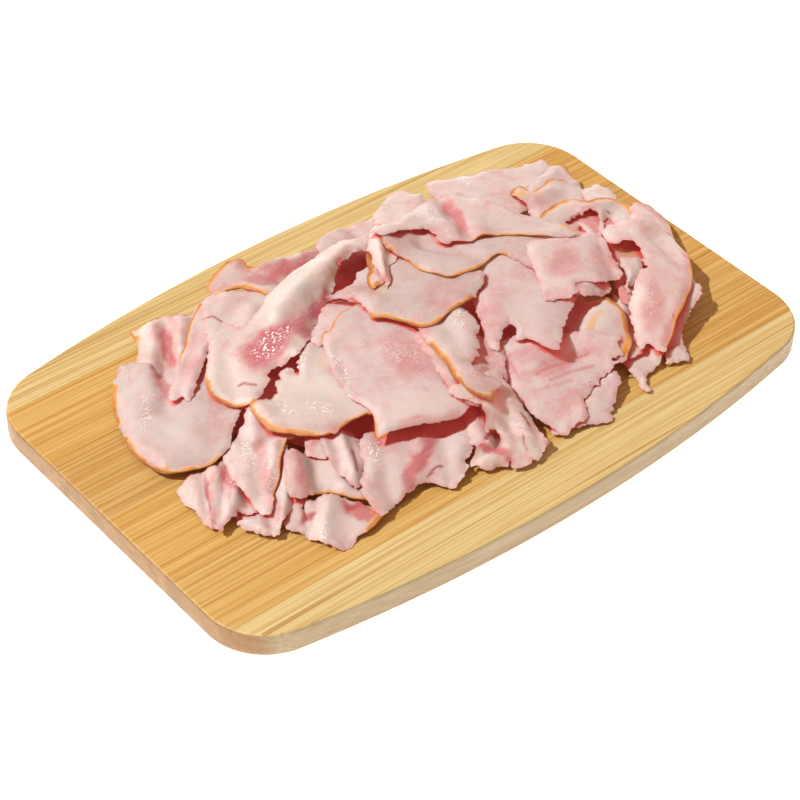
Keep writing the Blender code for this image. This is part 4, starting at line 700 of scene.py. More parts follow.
def drape(curve, shape, reach=REACH, add=True):
    """Lay a slice on the pile: shape(points) is the height its underside would like.
    Returns the height actually taken, as a window of the plan grid."""
    lo, hi = curve.min(axis=0) - 6.0, curve.max(axis=0) + 6.0
    i0, i1 = int((lo[0] - X0) / CELL), int((hi[0] - X0) / CELL) + 1
    j0, j1 = int((lo[1] - Y0) / CELL), int((hi[1] - Y0) / CELL) + 1
    gx, gy = np.meshgrid(np.arange(i0, i1), np.arange(j0, j1))
    pts = np.c_[X0 + gx.ravel() * CELL, Y0 + gy.ravel() * CELL]
    want = shape(pts).reshape(gx.shape)
    over = inside(curve, pts).reshape(gx.shape)
    lack = np.where(widest(over.astype(float), 1) > 0, top_map[j0:j1, i0:i1] + GAP - want, 0.0)
    lack = np.clip(lack, 0.0, None)
    z = want + soften(soften(widest(lack, reach + 1), reach // 2), reach - reach // 2)
    if add:
        part = top_map[j0:j1, i0:i1]
        part[over] = np.maximum(part, z + SLICE)[over]
    return z, i0, j0


def mesh_plan(curve, pitch):
    """Triangles inside a closed curve, with an even scatter of inner points."""
    lo, hi = curve.min(axis=0), curve.max(axis=0)
    rows = []
    for k, y in enumerate(np.arange(lo[1], hi[1] + pitch, pitch * 0.866)):
        xs = np.arange(lo[0], hi[0] + pitch, pitch) + (pitch / 2 if k % 2 else 0.0)
        rows.append(np.c_[xs, np.full(len(xs), y)])
    pts = np.vstack(rows)
    pts = pts[inside(curve, pts)]
    if len(pts):
        pts = pts[path_distance(curve, pts, True)[0] > pitch * 0.55]
    verts = [Vector(p) for p in curve] + [Vector(p) for p in pts]
    n = len(curve)
    edges = [(i, (i + 1) % n) for i in range(n)]
    co, _, faces, _, _, _ = delaunay_2d_cdt(verts, edges, [], 1, 1e-6)
    group = list(range(len(faces)))

    def root(i):
        while group[i] != i:
            group[i] = group[group[i]]
            i = group[i]
        return i
    owner = {}
    for k, f in enumerate(faces):
        for a, b in ((f[0], f[1]), (f[1], f[2]), (f[2], f[0])):
            e = (min(a, b), max(a, b))
            if e in owner:
                group[root(k)] = root(owner[e])
            owner[e] = k
    roots = [root(k) for k in range(len(faces))]
    keep = max(sorted(set(roots)), key=roots.count)
    faces = [f for f, r in zip(faces, roots) if r == keep]
    used = sorted({i for f in faces for i in f})
    new = {old: k for k, old in enumerate(used)}
    return (np.array([tuple(co[i]) for i in used]),
            np.array([[new[i] for i in f] for f in faces]))


def new_object(name, verts, faces, mat, body, node):
    mesh = bpy.data.meshes.new(name)
    mesh.from_pydata((np.asarray(verts) * 0.001).tolist(), [], faces)
    mesh.materials.append(mat)
    obj = bpy.data.objects.new(name, mesh)
    bpy.context.scene.collection.objects.link(obj)
    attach(obj, body)
    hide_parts(node)
    return obj


# ---------------------------------------------------------------------------
# Materials.
def new_material(name):
    m = bpy.data.materials.new(name)
    m.use_nodes = True
    return m, m.node_tree.nodes, m.node_tree.links, m.node_tree.nodes["Principled BSDF"]


def add(nodes, kind, **values):
    n = nodes.new(kind)
    for k, v in values.items():
        if k in n.bl_rna.properties.keys():
            setattr(n, k, v)
        else:
            n.inputs[k.replace("_", " ")].default_value = v
    return n


def math_node(nodes, links, op, a, b=0.0, c=None, clamp=False):
    n = nodes.new("ShaderNodeMath")
    n.operation, n.use_clamp = op, clamp
    for k, v in enumerate((a, b) if c is None else (a, b, c)):
        if hasattr(v, "is_linked"):
            links.new(v, n.inputs[k])
        else:
            n.inputs[k].default_value = v
    return n.outputs[0]


def mix_colour(nodes, links, fac, a, b, mode="MIX"):
    n = nodes.new("ShaderNodeMix")
    n.data_type, n.blend_type = "RGBA", mode
    for sock, v in ((n.inputs[0], fac), (n.inputs[6], a), (n.inputs[7], b)):
        if hasattr(v, "is_linked"):
            links.new(v, sock)
        elif isinstance(v, tuple):
            sock.default_value = (*v, 1.0)
        else:
            sock.default_value = v
    return n.outputs[2]


def stretched(nodes, links, scale, shift=(0, 0, 0), angle=0.0):
    co = nodes.new("ShaderNodeTexCoord")
    mp = nodes.new("ShaderNodeMapping")
    mp.inputs["Location"].default_value = shift
    mp.inputs["Rotation"].default_value = (0, 0, angle)
    mp.inputs["Scale"].default_value = scale
    links.new(co.outputs["Object"], mp.inputs["Vector"])
    return mp.outputs[0]


def noise_tex(nodes, links, vec, scale, detail=3.0, rough=0.55, distort=0.0):
    n = nodes.new("ShaderNodeTexNoise")
    n.inputs["Scale"].default_value = scale
    n.inputs["Detail"].default_value = detail
    n.inputs["Roughness"].default_value = rough
    n.inputs["Distortion"].default_value = distort
    links.new(vec, n.inputs["Vector"])
    return n.outputs["Fac"]


def remap(nodes, links, v, a, b, c=0.0, d=1.0):
    n = nodes.new("ShaderNodeMapRange")
    n.inputs["From Min"].default_value, n.inputs["From Max"].default_value = a, b
    n.inputs["To Min"].default_value, n.inputs["To Max"].default_value = c, d
    links.new(v, n.inputs["Value"])
    return n.outputs[0]


def bamboo(name, light, mid, dark, seed):
    """Lacquered bamboo: fine long streaks on top and sides, speckled fibre ends on the ends."""
    m, N, L, s = new_material(name)
    sh = (seed * 0.37, seed * 0.11, 0)
    # broad bands, as one cane strip differs from the next
    band = noise_tex(N, L, stretched(N, L, (1.2, 110, 110), sh), 1.0, 1.0, 0.4)
    # long fine streaks
    streak = noise_tex(N, L, stretched(N, L, (7, 620, 620), sh), 1.0, 3.0, 0.6)
    thread = noise_tex(N, L, stretched(N, L, (14, 1900, 1900), sh), 1.0, 2.0, 0.6)
    # dark thin lines
    line = noise_tex(N, L, stretched(N, L, (4, 900, 900), (sh[0] + 3, sh[1], 0)), 1.0, 2.0, 0.5)
    c = mix_colour(N, L, remap(N, L, band, 0.35, 0.65), light, mid)
    c = mix_colour(N, L, remap(N, L, streak, 0.44, 0.64, 0.0, 1.0), c, dark)
    c = mix_colour(N, L, remap(N, L, thread, 0.48, 0.62, 0.0, 0.65), c, dark)
    c = mix_colour(N, L, remap(N, L, line, 0.60, 0.68, 0.0, 0.85), c, tuple(x * y for x, y in zip(dark, (0.78, 0.62, 0.50))))
    # a broad drift in tone over the board
    drift = noise_tex(N, L, stretched(N, L, (9, 16, 16), sh), 1.0, 2.0)
    c = mix_colour(N, L, remap(N, L, drift, 0.3, 0.7, 0.0, 0.35), c, mix_colour(N, L, 0.5, c, dark))
    # fibre ends
    dots = noise_tex(N, L, stretched(N, L, (300, 1500, 1500), sh), 1.0, 3.0, 0.7)
    blot = noise_tex(N, L, stretched(N, L, (60, 90, 160), sh), 1.0, 3.0, 0.6)
    e = mix_colour(N, L, remap(N, L, blot, 0.35, 0.65), (0.38, 0.212, 0.083), (0.27, 0.145, 0.050))
    e = mix_colour(N, L, remap(N, L, dots, 0.52, 0.70, 0.0, 0.8), e, (0.19, 0.095, 0.04))
    # sawn long edges: greyer and paler than the top
    grey = mix_colour(N, L, remap(N, L, streak, 0.35, 0.75), (0.50, 0.39, 0.23), (0.37, 0.275, 0.153))
    geo = N.new("ShaderNodeNewGeometry")
    sep = N.new("ShaderNodeSeparateXYZ")
    L.new(geo.outputs["Normal"], sep.inputs[0])
    side = remap(N, L, math_node(N, L, "ABSOLUTE", sep.outputs[1]), 0.45, 0.75)
    end = remap(N, L, math_node(N, L, "ABSOLUTE", sep.outputs[0]), 0.45, 0.75)
    c = mix_colour(N, L, side, c, grey)
    c = mix_colour(N, L, end, c, e)
    L.new(c, s.inputs["Base Color"])
    L.new(remap(N, L, streak, 0.3, 0.8, 0.38, 0.56), s.inputs["Roughness"])
    s.inputs["Specular IOR Level"].default_value = 0.4
    bump = N.new("ShaderNodeBump")
    bump.inputs["Strength"].default_value = 0.25
    bump.inputs["Distance"].default_value = 0.0003
    L.new(math_node(N, L, "ADD", thread, line), bump.inputs["Height"])
    L.new(bump.outputs[0], s.inputs["Normal"])
    return m


TONES = {
    # base, deep (lean muscle), pale (fat and brined protein)
    "pink": ((0.68, 0.515, 0.49), (0.64, 0.31, 0.295), (0.69, 0.575, 0.54)),
    "pale": ((0.69, 0.545, 0.505), (0.64, 0.28, 0.27), (0.70, 0.59, 0.54)),
    "muscle": ((0.65, 0.35, 0.34), (0.60, 0.205, 0.205), (0.70, 0.55, 0.51)),
}


def ham(name, tone, seed, angle, cool=0.0, wet=0.0, tone_and_light_balance=1.0):
    """Moist cured ham: mottled lean, pale threads, orange smoked rind where the mesh says so.
    The mesh's 'paint' colours hold rind (red), lean and painted shade (green), pale (blue) and
    body (alpha, low at the thin rim); the second colour attribute holds stains of smoke and fat,
    painted shade of depth and of the key light's shadow, and painted shade of tears and patches.
    Painted highlights, a painted red rim and a faint painted glow are added."""
    m, N, L, s = new_material(name)
    base, deep, pale = TONES[tone]
    # painted light in part: each slice's colours are scaled by its balance factor, mostly darker for slices the key
    # light falls on fully and brighter for slices it meets at a glancing angle, besides the slice's own tone
    base = tuple(x * tone_and_light_balance + 0.03 * cool * (k == 2) for k, x in enumerate(base))
    deep = tuple(x * tone_and_light_balance for x in deep)
    pale = tuple(x * tone_and_light_balance for x in pale)
    sh = (seed * 1.37 % 7, seed * 2.11 % 5, seed * 0.73 % 3)
    paint = N.new("ShaderNodeAttribute")
    paint.attribute_name = "paint"
    sep = N.new("ShaderNodeSeparateColor")
    L.new(paint.outputs["Color"], sep.inputs[0])
    rind, lean_and_shade, fat = sep.outputs
    # the second colour attribute carries smoke stains, painted shade of depth and painted shade of tears and patches
    stain_and_shade = N.new("ShaderNodeAttribute")
    stain_and_shade.attribute_name = "stain_and_shade"
    sep2 = N.new("ShaderNodeSeparateColor")
    L.new(stain_and_shade.outputs["Color"], sep2.inputs[0])
    amber, painted_shade, slit_and_patch_shade = sep2.outputs
    cloud = noise_tex(N, L, stretched(N, L, (1, 1, 1), sh, angle), 42.0, 3.0, 0.6, 0.5)
    grain = noise_tex(N, L, stretched(N, L, (50, 420, 240), sh, angle), 1.0, 4.0, 0.65, 0.8)
    mottle = noise_tex(N, L, stretched(N, L, (1, 1, 1), sh), 190.0, 4.0, 0.65)
    fleck = noise_tex(N, L, stretched(N, L, (1, 1, 1), sh), 850.0, 2.0, 0.6)
    bead_and_glint = noise_tex(N, L, stretched(N, L, (560, 1250, 1250), sh, angle), 1.0, 1.0, 0.5)
    vein = noise_tex(N, L, stretched(N, L, (1, 1, 1), sh), 60.0, 4.0, 0.5, 1.5)
    c = mix_colour(N, L, remap(N, L, cloud, 0.50, 0.66, 0.0, 0.55), base, deep)
    c = mix_colour(N, L, remap(N, L, cloud, 0.47, 0.28, 0.0, 0.9), c, pale)
    c = mix_colour(N, L, remap(N, L, grain, 0.54, 0.80, 0.0, 0.32), c, deep)
    c = mix_colour(N, L, remap(N, L, mottle, 0.50, 0.62, 0.0, 0.60), c, pale)
    c = mix_colour(N, L, remap(N, L, mottle, 0.47, 0.34, 0.0, 0.34), c, deep)
    # painted lean muscle, streaked along its fibres, with painted shade where a lean spot stands in for shade in a
    # valley or under an overhang, and painted fat
    k = math_node(N, L, "MULTIPLY", lean_and_shade, remap(N, L, grain, 0.30, 0.60, 0.80, 1.20), clamp=True)
    c = mix_colour(N, L, k, c, tuple(x * y for x, y in zip(deep, (0.92, 0.60, 0.66))))
    c = mix_colour(N, L, math_node(N, L, "MULTIPLY", fat, remap(N, L, mottle, 0.30, 0.60, 0.75, 1.0)), c, pale)
    # thin pale seams of fat where a smooth noise crosses its middle
    seam = math_node(N, L, "ABSOLUTE", math_node(N, L, "SUBTRACT", vein, 0.5))
    c = mix_colour(N, L, math_node(N, L, "MULTIPLY", remap(N, L, seam, 0.0, 0.016, 0.55, 0.0), math_node(N, L, "SUBTRACT", 1.0, lean_and_shade, clamp=True)), c, pale)
    c = mix_colour(N, L, remap(N, L, fleck, 0.60, 0.72, 0.0, 0.30), c, (0.86, 0.76, 0.70))
    # depth: painted shade, the flesh painted red and darker where the pile shades it, in hollows, under other slices
    # and in the key light's shadow
    c = mix_colour(N, L, remap(N, L, painted_shade, 0.0, 0.5, 0.0, 0.85), c, (0.80, 0.235, 0.205))
    c = mix_colour(N, L, remap(N, L, painted_shade, 0.45, 1.0, 0.0, 0.95), c, (0.78, 0.125, 0.11))
    # painted shade: small tears and gloom patches painted dark red
    c = mix_colour(N, L, remap(N, L, slit_and_patch_shade, 0.0, 1.0, 0.0, 0.9), c, (0.42, 0.05, 0.045))
    # painted light: the thin rim is painted redder and darker, standing in for red light let through it; a little
    # warmth keeps it from looking grey
    c = mix_colour(N, L, remap(N, L, paint.outputs["Alpha"], 0.1, 0.8, 0.75, 0.0), c, (1.0, 0.80, 0.78), "MULTIPLY")
    # painted highlight: white glint specks painted into the colour on the glossiest, wettest stretches, where beads of
    # brine would catch the light
    gloss_glint_node = N.new("ShaderNodeAttribute")
    gloss_glint_node.attribute_name = "gloss"
    gloss = gloss_glint_node.outputs["Fac"]
    glint = math_node(N, L, "MULTIPLY", remap(N, L, bead_and_glint, 0.56, 0.64), gloss)
    c = mix_colour(N, L, glint, c, (1.0, 0.97, 0.95))
    # the smoked rind: orange brown at the rim, fading inwards through amber
    worn = remap(N, L, mottle, 0.36, 0.60, 0.55, 1.0)
    tanned = mix_colour(N, L, remap(N, L, cloud, 0.35, 0.65), (0.82, 0.35, 0.055), (0.58, 0.19, 0.03))
    c = mix_colour(N, L, remap(N, L, amber, 0.0, 1.0, 0.0, 0.9), c, (0.74, 0.40, 0.13))
    c = mix_colour(N, L, math_node(N, L, "MULTIPLY", remap(N, L, rind, 0.0, 0.5, 0.0, 0.75), worn), c,
                   (0.86, 0.50, 0.20))
    c = mix_colour(N, L, math_node(N, L, "MULTIPLY", remap(N, L, rind, 0.35, 0.70), worn), c, tanned)
    c = mix_colour(N, L, math_node(N, L, "MULTIPLY", remap(N, L, rind, 0.82, 1.0), remap(N, L, cloud, 0.40, 0.60, 0.2, 0.8)), c,
                   (0.40, 0.13, 0.025))
    L.new(c, s.inputs["Base Color"])
    rough = math_node(N, L, "ADD", remap(N, L, mottle, 0.3, 0.7, 0.40 - 0.12 * wet, 0.58 - 0.1 * wet),
                      remap(N, L, fleck, 0.4, 0.7, 0.0, 0.10))
    L.new(math_node(N, L, "SUBTRACT", rough, math_node(N, L, "MULTIPLY", gloss, 0.18)), s.inputs["Roughness"])
    s.inputs["Specular IOR Level"].default_value = 0.5
    L.new(remap(N, L, gloss, 0.0, 1.0, 0.35 + 0.4 * wet, 1.0), s.inputs["Coat Weight"])
    s.inputs["Coat Roughness"].default_value = 0.18
    s.inputs["Subsurface Weight"].default_value = 1.0
    s.inputs["Subsurface Radius"].default_value = (1.0, 0.36, 0.26)
    L.new(math_node(N, L, "MULTIPLY", paint.outputs["Alpha"], 0.0007), s.inputs["Subsurface Scale"])
    # painted glow: a faint red emission in the deepest painted shade, standing in for light come down through the
    # slices above
    s.inputs["Emission Color"].default_value = (1.0, 0.16, 0.14, 1)
    L.new(remap(N, L, painted_shade, 0.5, 1.0, 0.0, 0.04), s.inputs["Emission Strength"])
    film = N.new("ShaderNodeBump")
    film.inputs["Strength"].default_value = 1.0
    film.inputs["Distance"].default_value = 0.0018
    L.new(math_node(N, L, "MULTIPLY_ADD", bead_and_glint, 0.9, mottle), film.inputs["Height"])
    L.new(film.outputs[0], s.inputs["Coat Normal"])
    bump = N.new("ShaderNodeBump")
    bump.inputs["Strength"].default_value = 0.40
    bump.inputs["Distance"].default_value = 0.0005
    h = math_node(N, L, "MULTIPLY_ADD", grain, 0.6, mottle)
    h = math_node(N, L, "MULTIPLY_ADD", fleck, 0.3 + 0.4 * wet, h)
    L.new(h, bump.inputs["Height"])
    L.new(bump.outputs[0], s.inputs["Normal"])
    return m


# ---------------------------------------------------------------------------
# The board: the same strips as in CAD, with finer rims and closed joints.
def board_outline(inset, n_long=40, n_corner=20):
    a, b = LENGTH / 2 - inset, WIDTH / 2 - inset
    r = CORNER - inset
    big = ((LENGTH / 2) ** 2 + BOW ** 2) / (2 * BOW) - inset
    cy = b - big
    fx = a - r
    fy = cy + math.sqrt((big - r) ** 2 - fx ** 2)
    t = math.atan2(fy - cy, fx)
    quarter = [(big * math.cos(s), cy + big * math.sin(s))
               for s in np.linspace(math.pi / 2, t, n_long)]
    quarter += [(fx + r * math.cos(s), fy + r * math.sin(s))
                for s in np.linspace(t, 0.0, n_corner)[1:]]
    right = quarter + [(x, -y) for x, y in reversed(quarter)]
    left = [(-x, -y) for x, y in right]
    return right[:-1] + left[:-1]


def board_strip(node, low, high, mat):
    bm = bmesh.new()
    rings = []
    steps = [math.pi / 2 * k / 5 for k in range(6)]
    for a in steps:
        rings.append((ROUND * (1 - math.sin(a)), ROUND * (1 - math.cos(a))))
    for a in reversed(steps):
        rings.append((ROUND * (1 - math.sin(a)), THICK - ROUND * (1 - math.cos(a))))
    vs = [[bm.verts.new((x, y, z)) for x, y in board_outline(inset)] for inset, z in rings]
    n = len(vs[0])
    for lo, hi in zip(vs, vs[1:]):
        for i in range(n):
            j = (i + 1) % n
            bm.faces.new((lo[i], lo[j], hi[j], hi[i]))
    bm.faces.new(vs[0])
    bm.faces.new(vs[-1])
    bmesh.ops.recalc_face_normals(bm, faces=bm.faces)
    for y, side in ((low, -1), (high, 1)):
        if abs(y) > WIDTH:
            continue
        geom = bm.verts[:] + bm.edges[:] + bm.faces[:]
        cut = bmesh.ops.bisect_plane(bm, geom=geom, plane_co=(0, y, 0), plane_no=(0, side, 0),
                                     clear_outer=True, dist=1e-5)
        rim = [e for e in cut["geom_cut"] if isinstance(e, bmesh.types.BMEdge)]
        bmesh.ops.contextual_create(bm, geom=rim)
    bmesh.ops.recalc_face_normals(bm, faces=bm.faces)
    mesh = bpy.data.meshes.new(node + "_fine")
    for v in bm.verts:
        v.co *= 0.001
    for f in bm.faces:
        f.smooth = True
    for e in bm.edges:
        if len(e.link_faces) == 2 and e.calc_face_angle() > math.radians(40):
            e.smooth = False
    bm.to_mesh(mesh)
    bm.free()
    mesh.materials.append(mat)
    obj = bpy.data.objects.new(node + "_fine", mesh)
    bpy.context.scene.collection.objects.link(obj)
    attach(obj, "board")
    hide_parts(node)


plank = [bamboo("bamboo_plank_%d" % k, (0.75, 0.60, 0.30), (0.71, 0.54, 0.235), (0.58, 0.375, 0.125), 3 + k)
         for k in range(2)]
board_strip("board_plank_near", -1e4, -PLANK_Y - 0.02, plank[0])
board_strip("board_plank_far", PLANK_Y + 0.02, 1e4, plank[1])
for k in range(STAVES):
    lo = -PLANK_Y + 2 * PLANK_Y * k / STAVES + 0.02
    hi = -PLANK_Y + 2 * PLANK_Y * (k + 1) / STAVES - 0.02
    shade = 1.0 + 0.05 * math.sin(k * 2.4)
    mat = bamboo("bamboo_stave_%d" % (k + 1), (0.71 * shade, 0.475 * shade, 0.168),
                 (0.67 * shade, 0.415 * shade, 0.128), (0.52 * shade, 0.26 * shade, 0.056), 11 + k)
    board_strip("board_stave_%d" % (k + 1), lo, hi, mat)

# ---------------------------------------------------------------------------
# The ham.
def lay_slice(k, name, tone, outline, marks, style):
    """Model one slice and add it to the pile."""
    uv = np.array(outline, float)
    xy = from_sheet(uv, np.mean([m[2] for m in marks]))
    for _ in range(3):
        h = smooth_height(marks, xy)
        h = h + lift_at(xy, h - SLICE)
        xy = from_sheet(uv, h)
    for _ in range(3):
        z, i0, j0 = drape(closed_curve(xy, 3.0), lambda p: smooth_height(marks, p) - SLICE, add=False)
        xy = from_sheet(uv, bilinear(z, i0, j0, xy) + SLICE)
    curve = closed_curve(xy, 0.75)
    n = len(curve)
    # where the rim is smoked rind
    rind_run = np.zeros(n)
    for path in style.get("rind", []):
        p = np.array(path, float)
        hp = smooth_height(marks, from_sheet(p, 15.0))
        hp = hp + lift_at(from_sheet(p, hp), hp - SLICE)
        d, _ = path_distance(from_sheet(p, hp), curve)
        rind_run = np.maximum(rind_run, 1 - ramp(d, 3.0, 6.5))
    # ragged torn edge, except along rind
    step = np.roll(curve, -1, axis=0) - np.roll(curve, 1, axis=0)
    side = np.c_[step[:, 1], -step[:, 0]]
    side /= np.linalg.norm(side, axis=1)[:, None] + 1e-9
    rag = (1.0 * noise(curve / 5.5, 11 * k + 1) + 0.9 * noise(curve / 2.3, 11 * k + 2)
           + 0.75 * noise(curve / 1.1, 11 * k + 3))
    wave = 0.6 * noise(curve / 9.0, 11 * k + 4)
    torn = style.get("torn", 1.0)
    curve = curve + side * (rag * torn * (1 - rind_run) + wave * rind_run)[:, None] * 0.75

    rng = np.random.RandomState(100 + k)
    lean_dir = style.get("grain", rng.uniform(0, math.pi))
    along = np.array([math.cos(lean_dir), math.sin(lean_dir)])
    across = np.array([-along[1], along[0]])
    wrinkle = style.get("wrinkle", 0.32)
    curl = style.get("curl", 1.0)
    folds = []
    for fold in style.get("folds", []):
        seg = fold[0] if len(fold) == 3 else [fold[:2], fold[2:4]]
        seg = np.array(seg, float)
        hp = smooth_height(marks, from_sheet(seg, 15.0))
        hp = hp + lift_at(from_sheet(seg, hp), hp - SLICE)
        folds.append((from_sheet(seg, hp), fold[-2], fold[-1]))

    def shape(p):
        z = smooth_height(marks, p) - SLICE
        q = np.c_[p @ along / 26.0, p @ across / 8.5]
        z = z + wrinkle * noise(q, 7 * k + 5) + 0.45 * wrinkle * noise(q * [2.1, 1.7], 7 * k + 6)
        d, s = path_distance(curve, p, True)
        z = z + curl * (0.9 * noise(np.c_[s / 13.0, s * 0 + k], 7 * k + 8) - 0.35) * (1 - ramp(d, 0.0, 6.0))
        z = z + 0.35 * curl * noise(np.c_[s / 4.0, s * 0 + k], 7 * k + 9) * (1 - ramp(d, 0.0, 3.0))
        for seg, amp, width in folds:
            d, _ = path_distance(seg, p)
            z = z + amp * np.exp(-(d / width) ** 2)
        return np.maximum(z, 0.15)

    z, i0, j0 = drape(curve, shape)
    plan, tris = mesh_plan(curve, PITCH)
    under = bilinear(z, i0, j0, plan)
    d, _ = path_distance(curve, plan, True)
    along_rim = path_distance(curve, plan, True)[1]
    near_rind = np.interp(along_rim,
                          np.append(0, np.cumsum(np.linalg.norm(np.diff(curve, axis=0), axis=1))),
                          rind_run)
    thick = SLICE * (0.30 + 0.70 * np.maximum(ramp(d, 0.0, 2.4), 0.8 * near_rind))
    lower, upper = under, under + thick
    m = len(plan)
    verts = np.r_[np.c_[plan, upper + THICK], np.c_[plan, lower + THICK]]
    faces = [tuple(t) for t in tris] + [(c + m, b + m, a + m) for a, b, c in tris]
    count = {}
    for a, b, c in tris.tolist():
        for e in ((a, b), (b, c), (c, a)):
            count[e] = 1
    for a, b in count:
        if (b, a) not in count:
            faces.append((b, a, a + m, b + m))
    mat = ham("ham_" + name, tone, k, lean_dir, style.get("cool", 0.0), style.get("wet", 0.0),
              style.get("tone_and_light_balance", 1.0))
    obj = new_object(name + "_fine", verts, faces, mat, "ham_pile", name)
    # paint: rind, lean and painted shade, pale; second attribute: amber, painted shade of depth, painted shade of tears
    # and patches
    sheet = to_sheet(plan, upper)
    wander = sheet + 5.0 * np.c_[noise(sheet / 14.0, k + 31), noise(sheet / 14.0, k + 32)]
    wander += 1.6 * np.c_[noise(sheet / 4.0, k + 33), noise(sheet / 4.0, k + 34)]
    width = style.get("rind_width", 1.7) * (1.0 + 0.45 * noise(np.c_[along_rim / 16.0, along_rim * 0 + k], k + 60))
    width = width * (0.55 + 0.45 * ramp(noise(np.c_[along_rim / 7.0, along_rim * 0 + k], k + 61), -0.75, -0.35))
    rind = near_rind * (1 - ramp((d + 0.35 * noise(plan / 2.0, k + 50)) / width, 0.35, 1.6))

    def patch(u, v, ru, rv, turn):
        c, s_ = math.cos(math.radians(turn)), math.sin(math.radians(turn))
        q = wander - (u, v)
        r = np.hypot((q[:, 0] * c + q[:, 1] * s_) / ru, (-q[:, 0] * s_ + q[:, 1] * c) / rv)
        return 1 - ramp(r, 0.45, 1.25)
    lean_and_shade, fat, amber, slit_and_patch_shade = np.zeros(m), np.zeros(m), np.zeros(m), np.zeros(m)
    for *spot, value in style.get("spots", []):
        f = patch(*spot)
        if value > 0:
            lean_and_shade = np.maximum(lean_and_shade, value * f)
        else:
            fat = np.maximum(fat, -value * f)
    for *spot, value in style.get("amber", []):
        amber = np.maximum(amber, value * patch(*spot))
    lean_and_shade = np.maximum(lean_and_shade, style.get("blush", 0.0) * near_rind * (1 - ramp(d, 1.5, 7.0)))
    for path, value in style.get("veins", []):
        lean_and_shade = np.maximum(lean_and_shade, value * (1 - ramp(path_distance(np.array(path, float), sheet)[0], 0.5, 2.6)))
    # painted shade where small tears open: a dark line along each slit
    for path, half in style.get("slit_shade", []):
        slit_and_patch_shade = np.maximum(slit_and_patch_shade, 1 - ramp(path_distance(np.array(path, float), sheet)[0], 0.5 * half, 0.5 * half + 1.2))
    # painted highlight: gloss patches make the flesh glossier and carry the painted white glint specks
    gloss = np.zeros(m)
    for *spot, value in style.get("gloss", []):
        gloss = np.maximum(gloss, value * patch(*spot))
    att = obj.data.attributes.new("gloss", "FLOAT", "POINT")
    att.data.foreach_set("value", np.r_[gloss, gloss])
    # painted shade: gloom patches darken the flesh; a negative gloom takes painted shade away
    for *spot, value in style.get("gloom", []):
        f = value * patch(*spot)
        slit_and_patch_shade = np.where(f < -0.01, f, np.maximum(slit_and_patch_shade, f))
    LAID.append((obj, plan, upper, rind, lean_and_shade, fat, amber, slit_and_patch_shade, 0.1 + 0.9 * ramp(d, 0.2, 2.6), style.get("dark", 0.0)))
    mesh = obj.data
    mesh.shade_smooth()
    mesh.set_sharp_from_angle(angle=math.radians(48))
    mesh.update()


def top_at(xy):
    return bilinear(top_map, 0, 0, xy)


def colour_slices():
    """Once the pile is complete, paint shade into each slice: how deep each point lies among its neighbours,
    whether the key light's shadow falls on it, and whether another slice covers it.
    """
    for obj, plan, upper, rind, lean_and_shade, fat, amber, slit_and_patch_shade, body, dark in LAID:
        # painted shade of occlusion: how far the pile rises around each point
        deep = np.zeros(len(plan))
        for r in (1.5, 3.0, 5.0, 8.0, 12.0):
            for t in np.arange(12) * math.pi / 6 + r:
                rise = top_at(plan + r * np.array([math.cos(t), math.sin(t)])) - upper - 0.3
                deep += np.clip(rise / r, 0.0, 1.3) / 60.0
        deep = np.clip(deep * 1.4 - 0.12, 0.0, 1.0)
        # painted shadow: march towards the key light over the height map; where the pile rises above that line the
        # point is in the key light's shadow
        rise = np.zeros(len(plan))
        for t in np.arange(1.0, 34.0, 0.8):
            p = plan + t * KEY_DIR[:2] / KEY_DIR[2]
            rise = np.maximum(rise, top_at(p) - upper - t - 0.2)
        shade = ramp(rise, 0.0, 1.2)
        # painted shade under any slice that covers this point
        covered = ramp(top_at(plan) - upper, 1.5, 4.5)
        # painted shade, mostly where the key light's shadow falls and some under covering slices; a slice's dark adds
        # painted shade and a negative gloom takes it away
        deep = deep * (0.06 + 0.94 * shade) + 0.28 * shade
        deep = np.clip(np.maximum(deep, 0.35 * covered) + dark + np.minimum(slit_and_patch_shade, 0.0), 0.0, 1.0)
        slit_and_patch_shade = np.maximum(slit_and_patch_shade, 0.0)
        # painted shade on the underside and thin rim: always a little red depth
        beneath = np.maximum(deep, 0.14)
        for title, channels in (("paint", ((rind, rind), (lean_and_shade, lean_and_shade), (fat, fat), (body, body))),
                                ("stain_and_shade", ((amber, amber), (deep, beneath), (slit_and_patch_shade, slit_and_patch_shade)))):
            colour = np.ones((2 * len(plan), 4))
            for k, pair in enumerate(channels):
                colour[:, k] = np.concatenate(pair)
            att = obj.data.color_attributes.new(title, "FLOAT_COLOR", "POINT")
            att.data.foreach_set("color", colour.ravel())


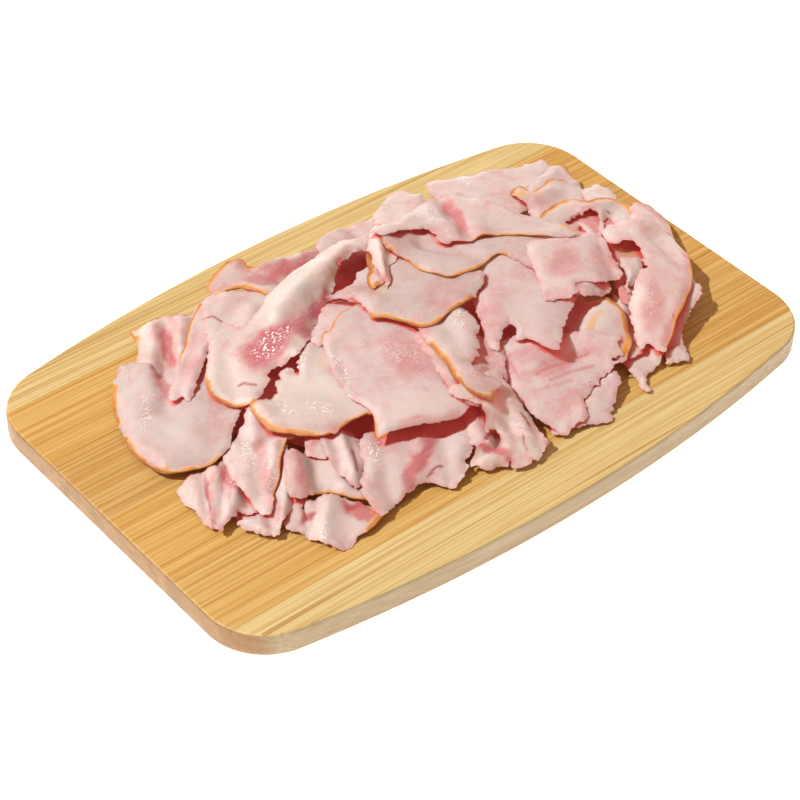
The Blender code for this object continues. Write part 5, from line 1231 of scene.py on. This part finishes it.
PITCH = 1.1
LAID = []
flat_right = np.array([math.cos(VIEW_AZ), math.sin(VIEW_AZ), 0])
flat_away = np.array([-math.sin(VIEW_AZ), math.cos(VIEW_AZ), 0])
KEY_DIR = -flat_right * 0.60 - flat_away * 0.10 + np.array([0, 0, 0.76])
BURIED = [
    ("buried_slice_1", (16, 2), (122, 62), 0.8, 6.0, 0.3),
    ("buried_slice_2", (22, 12), (92, 46), 5.0, 12.0, 2.6),
]
for k, (name, (cx, cy), (a, b), rim, crown, phase) in enumerate(BURIED):
    curve = []
    for t in np.arange(160) * 2 * math.pi / 160:
        g = 1 + 0.07 * math.sin(3 * t + phase) + 0.04 * math.sin(5 * t + 2 * phase)
        curve.append((cx + a * g * math.cos(t), cy + b * g * math.sin(t)))
    curve = np.array(curve)

    def mound(p):
        rho = np.clip(((p[:, 0] - cx) / a) ** 2 + ((p[:, 1] - cy) / b) ** 2, 0, 1)
        return rim + (crown - rim) * (1 - rho) + 0.5 * noise(p / 14.0, 900 + k)
    z, i0, j0 = drape(curve, mound)
    plan, tris = mesh_plan(curve, 4.0)
    low = bilinear(z, i0, j0, plan)
    m = len(plan)
    verts = np.r_[np.c_[plan, low + SLICE + THICK], np.c_[plan, low + THICK]]
    faces = [tuple(t) for t in tris] + [(c + m, b + m, a + m) for a, b, c in tris]
    count = {e for t in tris.tolist() for e in ((t[0], t[1]), (t[1], t[2]), (t[2], t[0]))}
    faces += [(q, p, p + m, q + m) for p, q in sorted(count) if (q, p) not in count]
    obj = new_object(name + "_fine", verts, faces, ham("ham_" + name, "pink", 70 + k, 0.4 * k),
                     "ham_pile", name)
    none = np.zeros(m)
    # buried slices: half lean, and 0.3 of painted shade added over the whole slice
    LAID.append((obj, plan, low + SLICE, none, none + 0.5, none, none, none, none + 1.0, 0.3))
    obj.data.shade_smooth()

for k, (name, tone, outline, marks) in enumerate(SLICES):
    lay_slice(k, name, tone, outline, marks, STYLE.get(name, {}))
colour_slices()

# ---------------------------------------------------------------------------
# Floor, light and camera.
floor = bpy.data.meshes.new("floor")
floor.from_pydata([(-12, -12, 0), (12, -12, 0), (12, 12, 0), (-12, 12, 0)], [], [(0, 1, 2, 3)])
floor_obj = bpy.data.objects.new("floor", floor)
bpy.context.scene.collection.objects.link(floor_obj)
floor_obj.location.z = -0.0005
m, N, L, s = new_material("floor")
s.inputs["Base Color"].default_value = (0.92, 0.92, 0.92, 1)
s.inputs["Roughness"].default_value = 0.8
s.inputs["Emission Color"].default_value = (1, 1, 1, 1)
s.inputs["Emission Strength"].default_value = 0.9
floor.materials.append(m)

world = bpy.data.worlds.new("studio")
bpy.context.scene.world = world
world.use_nodes = True
world.node_tree.nodes["Background"].inputs["Color"].default_value = (1.0, 0.72, 0.57, 1)
world.node_tree.nodes["Background"].inputs["Strength"].default_value = 0.50


def aim(obj, towards):
    obj.rotation_mode = "QUATERNION"
    obj.rotation_quaternion = Vector(towards).to_track_quat("Z", "Y")


# key light: high, from the left of the camera's view and a little behind the board
key = bpy.data.lights.new("key", "SUN")
key.energy, key.angle = 3.36, math.radians(1.6)
key.color = (0.91, 0.98, 1.0)
key_obj = bpy.data.objects.new("key", key)
bpy.context.scene.collection.objects.link(key_obj)
aim(key_obj, KEY_DIR)

cam = bpy.data.cameras.new("camera")
cam_obj = bpy.data.objects.new("camera", cam)
bpy.context.scene.collection.objects.link(cam_obj)
cam.sensor_width = 36.0
cam.lens = VIEW_FOCUS / 800.0 * 36.0
cam.clip_start, cam.clip_end = 0.05, 20.0
cam_obj.matrix_world = Matrix([[RIGHT[k], UP[k], back[k], EYE[k] * 0.001] for k in range(3)]
                              + [[0, 0, 0, 1]])
bpy.context.scene.camera = cam_obj
bpy.context.scene.view_settings.view_transform = "Standard"
bpy.context.scene.view_settings.look = "None"
